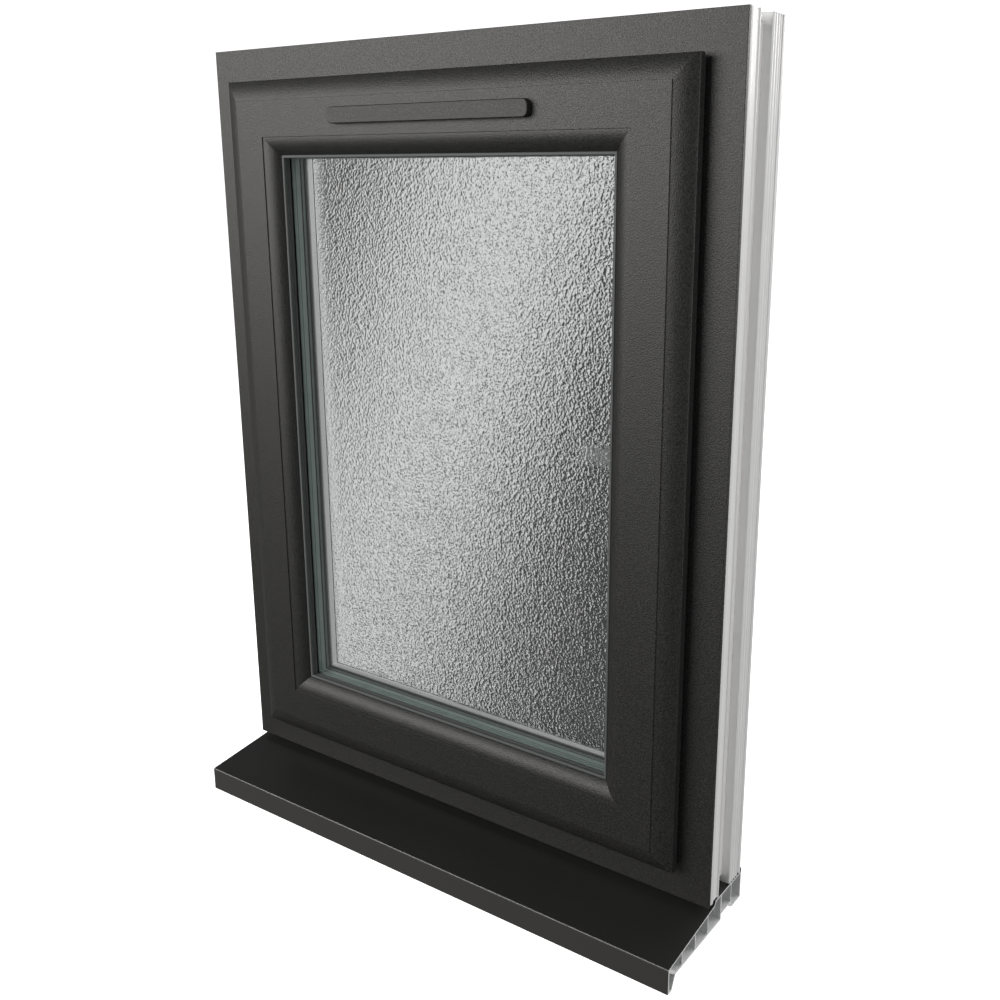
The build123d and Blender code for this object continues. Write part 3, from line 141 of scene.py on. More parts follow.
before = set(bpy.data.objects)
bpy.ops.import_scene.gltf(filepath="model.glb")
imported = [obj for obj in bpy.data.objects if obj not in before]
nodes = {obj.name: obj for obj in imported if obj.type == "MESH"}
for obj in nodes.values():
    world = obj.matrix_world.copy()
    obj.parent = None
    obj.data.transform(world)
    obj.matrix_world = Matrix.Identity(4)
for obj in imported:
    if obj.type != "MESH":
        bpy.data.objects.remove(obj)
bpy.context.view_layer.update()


# Shapes
def blended(corners, radii, steps=4):
    """Closed outline with each corner blended by a quadratic curve that leaves both edges a radius away.

    A corner that turns by more than 12 degrees gets one more point just beyond each end of its curve, so that
    the shading of the flat faces beside it stays flat.
    """
    p = np.array(corners, float)
    r = np.broadcast_to(np.array(radii, float), len(p))[:, None]
    back = np.roll(p, 1, 0) - p
    ahead = np.roll(p, -1, 0) - p
    long_back = np.linalg.norm(back, axis=1, keepdims=True)
    long_ahead = np.linalg.norm(ahead, axis=1, keepdims=True)
    reach = np.minimum(r, 0.48 * np.minimum(long_back, long_ahead))
    t = np.linspace(0, 1, steps + 1)[None, :, None]
    u, v = (back / long_back)[:, None], (ahead / long_ahead)[:, None]
    curve = p[:, None] + reach[:, None] * ((1 - t) ** 2 * u + t ** 2 * v)
    beyond = np.minimum(reach + 0.05, 0.49 * np.minimum(long_back, long_ahead))[:, None]
    points = np.concatenate([p[:, None] + beyond * u, curve, p[:, None] + beyond * v], 1)
    turns = -np.sum(u * v, axis=2)[:, 0] < np.cos(np.radians(12))
    keep = np.ones(points.shape[:2], bool)
    keep[~turns, 0] = keep[~turns, -1] = False
    return points[keep]


def through(a, b, c, count=14):
    """Points on the circle through three points, from the first to the last, without its two ends."""
    a, b, c = (np.array(q, float) for q in (a, b, c))
    d = 2 * ((a[0] - c[0]) * (b[1] - c[1]) - (b[0] - c[0]) * (a[1] - c[1]))
    ka, kb = a @ a - c @ c, b @ b - c @ c
    middle = np.array([ka * (b[1] - c[1]) - kb * (a[1] - c[1]), kb * (a[0] - c[0]) - ka * (b[0] - c[0])]) / d
    start, half, end = (np.arctan2(*(q - middle)[::-1]) for q in (a, b, c))
    turn = (end - start) % (2 * np.pi)
    if (half - start) % (2 * np.pi) > turn:
        turn -= 2 * np.pi
    angles = start + turn * np.linspace(0, 1, count + 2)[1:-1]
    radius = np.linalg.norm(a - middle)
    return (middle + radius * np.stack([np.cos(angles), np.sin(angles)], 1)).tolist()


def mesh_object(name, points, faces, material, body, replaced=(), sharp=32.0, per_end=0):
    """Mesh piece from points in millimetres, smooth but for edges sharper than an angle, riding on a body.

    Where each end of the piece has its own given number of points, the edges within an end are sharp too.
    """
    data = bpy.data.meshes.new(name)
    data.from_pydata((np.asarray(points) * MM).tolist(), [], faces)
    data.validate()
    data.shade_smooth()
    data.set_sharp_from_angle(angle=np.radians(sharp))
    if per_end:
        pairs = np.empty(len(data.edges) * 2, np.int32)
        data.edges.foreach_get("vertices", pairs)
        ends = pairs.reshape(-1, 2) // per_end
        creased = np.empty(len(data.edges), bool)
        data.edges.foreach_get("use_edge_sharp", creased)
        data.edges.foreach_set("use_edge_sharp", creased | (ends[:, 0] == ends[:, 1]))
    data.materials.append(material)
    piece = bpy.data.objects.new(name, data)
    bpy.context.collection.objects.link(piece)
    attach(piece, body)
    if replaced:
        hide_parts(*replaced)
    return piece


def caps(loops, first, flip):
    """Triangles that close a section's loops; the first point of the section has the given index."""
    flat = [[Vector((x, y, 0)) for x, y in loop] for loop in loops]
    made = tessellate_polygon(flat)
    order = (lambda t: t[::-1]) if flip else (lambda t: t)
    return [order(tuple(first + i for i in tri)) for tri in made]


def walls(count, first_a, first_b):
    """Quads between two copies of a closed loop of points."""
    i = np.arange(count)
    k = (i + 1) % count
    return np.stack([first_a + i, first_a + k, first_b + k, first_b + i], 1).tolist()


# The four sides: corner, direction of m, direction of the length, length; all in (x, z)
SIDES = {
    "left": ((-WIDTH / 2, BASE), (1, 0), (0, 1), HEIGHT),
    "right": ((WIDTH / 2, BASE + HEIGHT), (-1, 0), (0, -1), HEIGHT),
    "base": ((WIDTH / 2, BASE), (0, 1), (-1, 0), WIDTH),
    "head": ((-WIDTH / 2, BASE + HEIGHT), (0, -1), (1, 0), WIDTH),
}


def member(name, section, side, material, body, replaced):
    """A section carried along one side of the window and cut at 45 degrees: each end's place along is its m.

    The attribute made here goes from 0 on the outer edge to 1 a little way into its grooves and channel; it
    is the mask of the painted light that makes the white lighter on the floors of these recesses.
    """
    corner, across, along, length = (np.array(q, float) for q in SIDES[side])
    p = np.array(section)
    rings = []
    for s in (p[:, 0], length - p[:, 0]):
        xz = corner + p[:, :1] * across + s[:, None] * along
        rings.append(np.stack([xz[:, 0], p[:, 1], xz[:, 1]], 1))
    count = len(p)
    faces = walls(count, 0, count) + caps([p], 0, False) + caps([p], count, True)
    points = np.concatenate(rings)
    piece = mesh_object(name, points, faces, material, body, replaced, per_end=count)
    outward(piece)
    # Mask for painted light in the white: 0 on the outer edge, 1 from a little way into the grooves and
    # channel
    recess_light_mask = np.where(p[:, 0] < CHANNEL_FLOOR + 1, np.clip(p[:, 0] / RECESS_FULL, 0, 1), 0)
    mark = piece.data.attributes.new("recess_light_mask", "FLOAT", "POINT")
    mark.data.foreach_set("value", np.concatenate([recess_light_mask, recess_light_mask]))
    return piece


def outward(piece):
    """Turns a closed mesh's faces so that they point out: the enclosed volume comes out positive."""
    data = piece.data
    data.calc_loop_triangles()
    corners = np.empty(len(data.loop_triangles) * 3, np.int32)
    data.loop_triangles.foreach_get("vertices", corners)
    points = np.empty(len(data.vertices) * 3)
    data.vertices.foreach_get("co", points)
    a, b, c = points.reshape(-1, 3)[corners].reshape(-1, 3, 3).transpose(1, 0, 2)
    if np.einsum("ij,ij->", a, np.cross(b, c)) < 0:
        data.flip_normals()


def ring(name, section, material, body, replaced):
    """A section carried right round the window as one closed piece, mitred at its four corners.

    A point of the section lies its own m inwards from all four sides, and its y stays the same.
    """
    p = np.array(section)
    m, y = p[:, 0], p[:, 1]
    left, right = m - WIDTH / 2, WIDTH / 2 - m
    low, high = BASE + m, BASE + HEIGHT - m
    rings = [np.stack([x, y, z], 1) for x, z in ((left, low), (right, low), (right, high), (left, high))]
    count = len(p)
    faces = sum((walls(count, k * count, (k + 1) % 4 * count) for k in range(4)), [])
    piece = mesh_object(name, np.concatenate(rings), faces, material, body, replaced)
    outward(piece)
    return piece


# Sections
def seal_slot(m, y):
    """Corners of the slot that holds a seal, in a face at the given depth."""
    far = m + SEAL_SLOT_W
    floor_y = y + SEAL_SLOT_DEEP
    return [(far, y), (far, floor_y), (m, floor_y), (m, y)]


def frame_outline():
    """Outer frame: ridged outer edge with a channel, room-side upstand and rebate, with blended arrises."""
    corners = [(0, 0), (0, FOIL_EDGE - 0.6), (0.5, FOIL_EDGE)]
    radii = [0.5, 0.4, 0.2]
    feet = ([(GROOVE_FLOOR, GROOVE_START), (GROOVE_FLOOR, GROOVE_END)],
            [(CHANNEL_MOUTH, CHANNEL_START - 0.2)])
    for ridge, foot in zip(FRONT_RIDGES, feet):
        corners += [ridge[0]] + through(*ridge, 6) + [ridge[2]] + foot
        radii += [0.3] + [1.0] * 6 + [0.3] + [0.2] * len(foot)
    corners += [(CHANNEL_FLOOR, CHANNEL_START), (CHANNEL_FLOOR, CHANNEL_END), (0.4, CHANNEL_END)]
    radii += [0.4, 0.4, 0.3]
    for y in REAR_RIDGES:
        corners += [(VALLEY_FLOOR, y - VALLEY_AHEAD), (0, y - RIDGE_HALF), (0, y + RIDGE_HALF)]
        radii += [0.6, 0.8, 0.8]
    corners += [(SLOT_FLOOR, SLOT_START), (SLOT_FLOOR, SLOT_END), (0.3, SLOT_END + 0.6)]
    radii += [0.4, 0.3, 0.4]
    corners += [(0, DEPTH - 3), (0, DEPTH)]
    radii += [0.6, 1.6]
    corners += [(UPSTAND, DEPTH), (UPSTAND, UPSTAND_Y)] + seal_slot(INNER_SEAL_SLOT, UPSTAND_Y)
    radii += [3, 0.6, 0.2, 0.1, 0.1, 0.2]
    corners += [(FLOOR, UPSTAND_Y), (FLOOR, 0)] + seal_slot(OUTER_SEAL_SLOT, 0)
    radii += [0.6, 0.6, 0.2, 0.1, 0.1, 0.2]
    return blended(corners, radii)


def sash_outline():
    """Sash: lip, outer ovolo, flat band, inner ovolo, glazing nib and rebate, with blended arrises."""
    crest = QUIRK - PROUD
    start = (MARGIN + LIP_CHAMFER, LIP_FRONT - LIP_CHAMFER)
    half = [(m, crest + (end - crest) * come)
            for (m, come), end in ((OUTER_OVOLO, start[1]), (INNER_OVOLO, NIB_FRONT))]
    outer = through(start, half[0], (BAND, crest))
    inner = through((BAND_END, crest), half[1], (SIGHT, NIB_FRONT))
    corners = [(SASH_EDGE, LIP_BACK), (MARGIN + LIP_STEP, LIP_BACK)]
    corners += [(MARGIN + LIP_STEP, LIP_BACK - LIP_STEP), (MARGIN, LIP_BACK - LIP_STEP)]
    radii = [0.5, 0.4, 0.3, 0.5]
    corners += [(MARGIN, LIP_FRONT), start] + outer + [(BAND, crest), (BAND, -PROUD)]
    radii += [0.5, 0.6] + [1] * len(outer) + [0.15, 0.35]
    corners += [(BAND_END, -PROUD), (BAND_END, crest)] + inner + [(SIGHT, NIB_FRONT), (SIGHT, NIB_BACK)]
    radii += [0.35, 0.15] + [1] * len(inner) + [0.4, 0.4]
    corners += [(SASH_FLOOR, NIB_BACK), (SASH_FLOOR, SASH_BACK), (SASH_EDGE, SASH_BACK)]
    radii += [0.3, 0.5, 1.2]
    corners += [(SASH_EDGE, HARDWARE_BACK), (HARDWARE_FLOOR, HARDWARE_BACK)]
    corners += [(HARDWARE_FLOOR, HARDWARE_FRONT), (SASH_EDGE, HARDWARE_FRONT)]
    radii += [0.4, 0.2, 0.2, 0.4]
    return blended(corners, radii, 3)


def bead_outline():
    """Room-side bead: straight reveal beside the glass and a cove down to the sash."""
    reveal = (BEAD_SIGHT, REVEAL_END)
    corners = [(BEAD_FOOT, BEAD_FRONT + 2), (BEAD_FOOT + 3, BEAD_FRONT), (BEAD_SIGHT - 1, BEAD_FRONT),
               (BEAD_SIGHT, BEAD_FRONT + 1), reveal]
    corners += through(reveal, BEAD_COVE, (BEAD_EDGE, SASH_BACK))
    corners += [(BEAD_EDGE, SASH_BACK), (BEAD_FOOT, SASH_BACK)]
    return blended(corners, 0.5, 3)


def outer_gasket_outline():
    """Outside glazing gasket: pad on the glass, lip over the end of the nib, and a notch behind the lip."""
    front = NIB_FRONT - 0.5
    edge = GASKET_SIGHT
    corners = [(GASKET_PAD, PANE_BACK), (GASKET_PAD, NIB_BACK), (SIGHT, NIB_BACK)]
    corners += [(SIGHT, front + 1), (SIGHT + 0.6, front)]
    radii = [0.2, 0.2, 0.1, 0.3, 0.4]
    corners += [(edge - 0.8, front), (edge, front + 0.8), (edge, NIB_BACK - 1.8)]
    radii += [0.8, 0.8, 0.5]
    corners += [(edge - 0.9, NIB_BACK - 1.1), (edge - 0.1, NIB_BACK - 0.4), (edge, PANE_BACK)]
    radii += [0.4, 0.5, 0.2]
    return blended(corners, radii)


def spacer_outline():
    """Spacer bar: box with tapered back corners and a seam along its face."""
    taper = SPACER_TAPER
    seam_floor = SPACER_SIGHT - SEAM_DEEP
    corners = [(SPACER_BACK, CAVITY_FRONT + taper), (SPACER_BACK + taper, CAVITY_FRONT)]
    corners += [(SPACER_SIGHT, CAVITY_FRONT), (SPACER_SIGHT, SEAM - SEAM_MOUTH_HALF)]
    corners += [(seam_floor, SEAM - SEAM_FLOOR_HALF), (seam_floor, SEAM + SEAM_FLOOR_HALF)]
    corners += [(SPACER_SIGHT, SEAM + SEAM_MOUTH_HALF), (SPACER_SIGHT, CAVITY_BACK)]
    corners += [(SPACER_BACK + taper, CAVITY_BACK), (SPACER_BACK, CAVITY_BACK - taper)]
    return blended(corners, 0.15)


def sill_outlines():
    """Sill as (y, z) loops: the outside, then its chambers from the nose to the back."""
    outer = [(NOSE, NOSE_LOW), (NOSE_BACK, NOSE_LOW), (UNDER_FRONT, 0)]
    radii = [0.6, 0.6, 1.5]
    outer += [(RAISED_FRONT, 0), (RAISED_FRONT, RAISED), (RAISED_BACK, RAISED), (RAISED_FOOT, 0)]
    outer += [(SILL_BACK, 0)]
    radii += [0.4, 0.6, 0.6, 0.6, 0.6]
    outer += [(SILL_BACK, RIM_TOP), (RIM_FRONT, RIM_TOP), (RIM_FRONT, BASE)]
    radii += [0.5, 0.5, 0.3]
    outer += [(PAD_Y, BASE), (STEP_Y, STEP_TOP), (NOSE + 1, NOSE_TOP), (NOSE, NOSE_TOP - 1)]
    radii += [2.0, 2.0, 1.0, 1.0]
    wall, web = SILL_WALL, SILL_WEB
    rise = (STEP_TOP - NOSE_TOP) / (STEP_Y - NOSE)
    under_pad = BASE - wall

    def top(y):
        """Underside of the sloping top at a depth."""
        return NOSE_TOP + rise * (y - NOSE) - wall

    webs = [LAST_WEB - CHAMBER * k for k in (3, 2, 1, 0)]
    end = webs[0] - web
    front = SECOND_CELL_FRONT
    cells = [[(NOSE + wall, NOSE_LOW + wall), (NOSE_BACK - 1, NOSE_LOW + wall), (UNDER_FRONT - 1.2, 0.8),
              (NOSE + wall, NOSE_CELL_TOP)],
             [(UNDER_FRONT + 0.4, wall), (end, wall), (end, top(end)), (front, top(front))]]
    for a, b in zip(webs[:-2], webs[1:-1]):
        cells.append([(a, wall), (b - web, wall), (b - web, top(b - web)), (a, top(a))])
    a, b = webs[-2:]
    cells.append([(a, wall), (b, wall), (b, under_pad), (PAD_Y + 0.8, under_pad), (STEP_Y + 0.8, top(STEP_Y)),
                  (a, top(a))])
    a, b = RAISED_FRONT, PAD_WEB_FRONT
    cells.append([(a, RAISED + wall), (b, RAISED + wall), (b, under_pad), (a, under_pad)])
    a, b = PAD_WEB_BACK, SILL_BACK - wall
    cells.append([(BACK_CELL_FOOT, wall), (b, wall), (b, under_pad), (a, under_pad), (a, BACK_CELL_LOW)])
    return [blended(outer, radii)] + [blended(cell, 0.8, 3) for cell in cells]


def inner_gasket_outline():
    """Room-side gasket between the inner pane and the bead."""
    foot = BEAD_GASKET_FOOT
    corners = [(foot, ROOM_PANE_BACK), (BEAD_SIGHT - 0.4, ROOM_PANE_BACK)]
    corners += [(BEAD_SIGHT + 0.6, ROOM_PANE_BACK + 1.8), (BEAD_SIGHT - 1, BEAD_FRONT), (foot, BEAD_FRONT)]
    return blended(corners, [0.2, 0.3, 0.8, 0.3, 0.2])


def tunnelled(name, loops, x0, x1, material, body, replaced):
    """A section of (y, z) loops carried along X, with every loop's wall and both ends closed round them."""
    flat = np.concatenate(loops)
    count = len(flat)
    points = np.concatenate([np.column_stack([np.full(count, x), flat]) for x in (x0, x1)])
    faces = caps(loops, 0, False) + caps(loops, count, True)
    first = 0
    for loop in loops:
        faces += walls(len(loop), first, count + first)
        first += len(loop)
    piece = mesh_object(name, points, faces, material, body, replaced, per_end=count)
    data = piece.data
    work = bmesh.new()
    work.from_mesh(data)
    bmesh.ops.recalc_face_normals(work, faces=work.faces)
    work.to_mesh(data)
    work.free()
    outward(piece)
    return piece


# Shader node helpers
def new_material(name):
    """Material with its own Principled shader; gives the material, its nodes, its links and the shader."""
    made = bpy.data.materials.new(name)
    made.use_nodes = True
    tree = made.node_tree
    return made, tree.nodes, tree.links, tree.nodes["Principled BSDF"]


def set_values(node, **values):
    """Sets a node's sockets by name, with underscores for spaces."""
    for key, value in values.items():
        node.inputs[key.replace("_", " ")].default_value = value


def math_node(nodes_, links, operation, *inputs):
    """Math node whose inputs are numbers or sockets; gives its result."""
    made = nodes_.new("ShaderNodeMath")
    made.operation = operation
    for socket, value in zip(made.inputs, inputs):
        if isinstance(value, (int, float)):
            socket.default_value = value
        else:
            links.new(value, socket)
    return made.outputs[0]


def between(nodes_, links, share, low, high):
    """Goes evenly from the low value to the high one as the share goes from 0 to 1."""
    return math_node(nodes_, links, "MULTIPLY_ADD", share, high - low, low)


def mix_colour(nodes_, links, factor, a, b):
    """Mix of two colours, each a colour or a socket."""
    made = nodes_.new("ShaderNodeMix")
    made.data_type = "RGBA"
    for socket, value in ((made.inputs[0], factor), (made.inputs[6], a), (made.inputs[7], b)):
        if isinstance(value, (int, float)):
            socket.default_value = value
        elif isinstance(value, tuple):
            socket.default_value = (*value, 1)
        else:
            links.new(value, socket)
    return made.outputs[2]


def object_place(nodes_):
    """Object coordinates."""
    return nodes_.new("ShaderNodeTexCoord").outputs["Object"]


def split_axes(nodes_, links, place):
    """A place's X, Y and Z."""
    made = nodes_.new("ShaderNodeSeparateXYZ")
    links.new(place, made.inputs[0])
    return made.outputs


def noise(nodes_, links, place, scale, detail=2.0, rough=0.5):
    """Noise, from 0 to 1."""
    made = nodes_.new("ShaderNodeTexNoise")
    set_values(made, Scale=scale, Detail=detail, Roughness=rough)
    links.new(place, made.inputs["Vector"])
    return made.outputs["Fac"]


def bump(nodes_, links, height, strength, distance):
    """Normal from a height; the distance is in metres."""
    made = nodes_.new("ShaderNodeBump")
    set_values(made, Strength=strength, Distance=distance)
    links.new(height, made.inputs["Height"])
    return made.outputs["Normal"]


def step_mask(nodes_, links, value, low, high):
    """Goes smoothly from 0 at the low value to 1 at the high one."""
    made = nodes_.new("ShaderNodeMapRange")
    made.interpolation_type = "SMOOTHSTEP"
    set_values(made, From_Min=low, From_Max=high)
    links.new(value, made.inputs["Value"])
    return made.outputs["Result"]


# Effects that several materials share, each a node group
FLOAT = "NodeSocketFloat"
VECTOR = "NodeSocketVector"
COLOUR = "NodeSocketColor"
GRAIN = 780.0
SPECK_RANGE = (0.54, 0.80)
CLOUD = 22.0
WHITE = (0.78, 0.79, 0.80)
WHITE_SHADE = (0.73, 0.74, 0.745)


def new_group(name, inputs, outputs):
    """Node group with named sockets; gives the group, its nodes, its links and its two ends' sockets."""
    group = bpy.data.node_groups.new(name, "ShaderNodeTree")
    for direction, sockets in (("INPUT", inputs), ("OUTPUT", outputs)):
        for socket, kind in sockets.items():
            group.interface.new_socket(name=socket, in_out=direction, socket_type=kind)
    given = group.nodes.new("NodeGroupInput").outputs
    result = group.nodes.new("NodeGroupOutput").inputs
    return group, group.nodes, group.links, given, result


def grain_group():
    """Foil grain: a fine even stipple as a height, a mask of its tips, and a broad faint mottling."""
    inputs = {"Place": VECTOR, "Scale": FLOAT}
    outputs = {"Height": FLOAT, "Speck": FLOAT, "Mottle": FLOAT}
    group, nodes_, links, given, result = new_group("foil_grain", inputs, outputs)
    fine = nodes_.new("ShaderNodeTexNoise")
    set_values(fine, Detail=3.0, Roughness=0.62)
    cells = nodes_.new("ShaderNodeTexVoronoi")
    for texture in (fine, cells):
        links.new(given["Place"], texture.inputs["Vector"])
        links.new(given["Scale"], texture.inputs["Scale"])
    height = math_node(nodes_, links, "MULTIPLY_ADD", cells.outputs["Distance"], 0.35, fine.outputs["Fac"])
    links.new(height, result["Height"])
    links.new(step_mask(nodes_, links, height, *SPECK_RANGE), result["Speck"])
    links.new(noise(nodes_, links, given["Place"], 7.0, 4.0, 0.6), result["Mottle"])
    return group


def white_group():
    """White plastic: its colour with faint clouds, and the clouds alone."""
    outputs = {"Color": COLOUR, "Cloud": FLOAT}
    group, nodes_, links, given, result = new_group("white_plastic", {"Place": VECTOR}, outputs)
    cloud = noise(nodes_, links, given["Place"], CLOUD, 3.0)
    links.new(mix_colour(nodes_, links, cloud, WHITE, WHITE_SHADE), result["Color"])
    links.new(cloud, result["Cloud"])
    return group


FOIL_GRAIN = grain_group()
WHITE_PLASTIC = white_group()


def add_effect(nodes_, links, group, place, **values):
    """A shared effect in a material, at a place and with its own values; gives its results by name."""
    made = nodes_.new("ShaderNodeGroup")
    made.node_tree = group
    set_values(made, **values)
    links.new(place, made.inputs["Place"])
    return made.outputs


# Materials
FOIL = (0.0056, 0.0055, 0.0053)
FOIL_LIGHT = (0.0085, 0.0083, 0.0080)
FOIL_SPECK = (0.024, 0.0235, 0.0225)
CANOPY = (0.0045, 0.0044, 0.0042)
CANOPY_LIGHT = (0.0065, 0.0063, 0.0060)
# Painted light: the frame's white is made lighter than plain white on the floors of its grooves and channel
RECESS_PAINTED_LIGHT = (0.88, 0.88, 0.875)
SILL_TOP = (0.014, 0.014, 0.0137)
SILL_TOP_LIGHT = (0.019, 0.019, 0.0185)
# Painted light: the sill's foil on the front of the nose, lighter than the same foil on the top
SILL_FRONT_PAINTED_LIGHT = (0.042, 0.041, 0.040)
FOIL_RELIEF = 0.0003

# Hammered glass: pits, ripples and pushes in a metre, how far a push moves the pits, and the relief
PITS = 390.0
RIPPLES = 620.0
PUSHES = 260.0
PUSH = 0.003
PIT_RELIEF = 0.00055

# Where the hammered relief ends beside the left and lower beads, and over what distance it fades
CLEAR_X = BEAD_SIGHT + 11.0 - WIDTH / 2
CLEAR_Z = BEAD_SIGHT + 7.5 + BASE
CLEAR_FADE = 1.5


def profile_material(name, foil_until):
    """White plastic with dark grained foil over the outside, ending at a depth in millimetres, and painted
    light that makes the white lighter in the grooves and channel.
    """
    made, nodes_, links, shader = new_material(name)
    place = object_place(nodes_)
    axes = split_axes(nodes_, links, place)
    grain = add_effect(nodes_, links, FOIL_GRAIN, place, Scale=GRAIN)
    white = add_effect(nodes_, links, WHITE_PLASTIC, place)
    blur = 0.12
    edge = step_mask(nodes_, links, axes[1], (foil_until - blur) * MM, (foil_until + blur) * MM)
    dark = mix_colour(nodes_, links, grain["Mottle"], FOIL, FOIL_LIGHT)
    dark = mix_colour(nodes_, links, grain["Speck"], dark, FOIL_SPECK)
    # Painted light: the white turns lighter towards the floors of the grooves and channel, by the mask made
    # with each member
    recess_light_mask = nodes_.new("ShaderNodeAttribute")
    recess_light_mask.attribute_name = "recess_light_mask"
    white_with_recess_light = mix_colour(nodes_, links, recess_light_mask.outputs["Fac"], white["Color"], RECESS_PAINTED_LIGHT)
    links.new(mix_colour(nodes_, links, edge, dark, white_with_recess_light), shader.inputs["Base Color"])
    rough = between(nodes_, links, grain["Speck"], 0.39, 0.51)
    smooth = between(nodes_, links, white["Cloud"], 0.26, 0.34)
    blend = nodes_.new("ShaderNodeMix")
    links.new(edge, blend.inputs[0])
    links.new(rough, blend.inputs[2])
    links.new(smooth, blend.inputs[3])
    links.new(blend.outputs[0], shader.inputs["Roughness"])
    only_foil = math_node(nodes_, links, "SUBTRACT", 1.0, edge)
    relief = math_node(nodes_, links, "MULTIPLY", grain["Height"], only_foil)
    links.new(bump(nodes_, links, relief, 1.0, FOIL_RELIEF), shader.inputs["Normal"])
    return made


def foil_material(name, colour, shade):
    """Dark grained foil all over, between two colours."""
    made, nodes_, links, shader = new_material(name)
    grain = add_effect(nodes_, links, FOIL_GRAIN, object_place(nodes_), Scale=GRAIN)
    dark = mix_colour(nodes_, links, grain["Mottle"], colour, shade)
    links.new(mix_colour(nodes_, links, grain["Speck"], dark, FOIL_SPECK), shader.inputs["Base Color"])
    links.new(between(nodes_, links, grain["Speck"], 0.45, 0.57), shader.inputs["Roughness"])
    links.new(bump(nodes_, links, grain["Height"], 0.9, FOIL_RELIEF), shader.inputs["Normal"])
    return made


def sill_material():
    """White plastic whose top and front are covered by a smooth dark foil, seen as a thin rim at the ends;
    the foil on the front is painted lighter than on the top, as painted light.
    """
    made, nodes_, links, shader = new_material("sill_finish")
    place = object_place(nodes_)
    axes = split_axes(nodes_, links, place)
    grain = add_effect(nodes_, links, FOIL_GRAIN, place, Scale=GRAIN)
    white = add_effect(nodes_, links, WHITE_PLASTIC, place)
    tops = []
    slopes = (NOSE, STEP_Y, NOSE_TOP, STEP_TOP - NOSE_TOP), (STEP_Y, PAD_Y, 0, BASE - STEP_TOP)
    for low, high, base, rise in slopes:
        ramp = nodes_.new("ShaderNodeMapRange")
        set_values(ramp, From_Min=low * MM, From_Max=high * MM, To_Min=base * MM, To_Max=(base + rise) * MM)
        links.new(axes[1], ramp.inputs["Value"])
        tops.append(ramp.outputs[0])
    skin = math_node(nodes_, links, "SUBTRACT", axes[2], math_node(nodes_, links, "ADD", *tops))
    blur = 0.1
    upper = step_mask(nodes_, links, skin, -(FOIL_T + blur) * MM, -FOIL_T * MM)
    front = step_mask(nodes_, links, axes[1], (NOSE + FOIL_T + blur) * MM, (NOSE + FOIL_T) * MM)
    dark = math_node(nodes_, links, "MAXIMUM", upper, front)
    smooth = mix_colour(nodes_, links, grain["Mottle"], SILL_TOP, SILL_TOP_LIGHT)
    # Painted light: the same foil gets a lighter colour on the front of the nose than on the top
    foil_with_lit_front = mix_colour(nodes_, links, front, smooth, SILL_FRONT_PAINTED_LIGHT)
    links.new(mix_colour(nodes_, links, dark, white["Color"], foil_with_lit_front), shader.inputs["Base Color"])
    links.new(between(nodes_, links, grain["Mottle"], 0.36, 0.44), shader.inputs["Roughness"])
    relief = math_node(nodes_, links, "MULTIPLY", grain["Height"], dark)
    links.new(bump(nodes_, links, relief, 0.15, 0.0001), shader.inputs["Normal"])
    return made


def plain_material(name, colour, shade, rough, metallic=0.0, scale=30.0, relief=0.15):
    """Moulded, rolled or cast surface: a colour with a faint variation, uneven gloss and a light relief."""
    made, nodes_, links, shader = new_material(name)
    place = object_place(nodes_)
    cloud = noise(nodes_, links, place, scale, 4.0, 0.6)
    fine = noise(nodes_, links, place, scale * 40, 2.0)
    links.new(mix_colour(nodes_, links, cloud, colour, shade), shader.inputs["Base Color"])
    links.new(between(nodes_, links, fine, rough - 0.08, rough + 0.08), shader.inputs["Roughness"])
    links.new(bump(nodes_, links, fine, relief, 0.00005), shader.inputs["Normal"])
    shader.inputs["Metallic"].default_value = metallic
    return made


def brushed_material(name, colour, shade, rough, stretch):
    """Rolled steel strip: fine lines along one axis, from noise stretched along it."""
    made, nodes_, links, shader = new_material(name)
    place = object_place(nodes_)
    mapping = nodes_.new("ShaderNodeMapping")
    mapping.inputs["Scale"].default_value = stretch
    links.new(place, mapping.inputs["Vector"])
    lines = noise(nodes_, links, mapping.outputs[0], 900.0, 3.0, 0.6)
    links.new(mix_colour(nodes_, links, lines, colour, shade), shader.inputs["Base Color"])
    links.new(between(nodes_, links, lines, rough - 0.1, rough + 0.1), shader.inputs["Roughness"])
    links.new(bump(nodes_, links, lines, 0.2, 0.00003), shader.inputs["Normal"])
    shader.inputs["Metallic"].default_value = 1.0
    return made


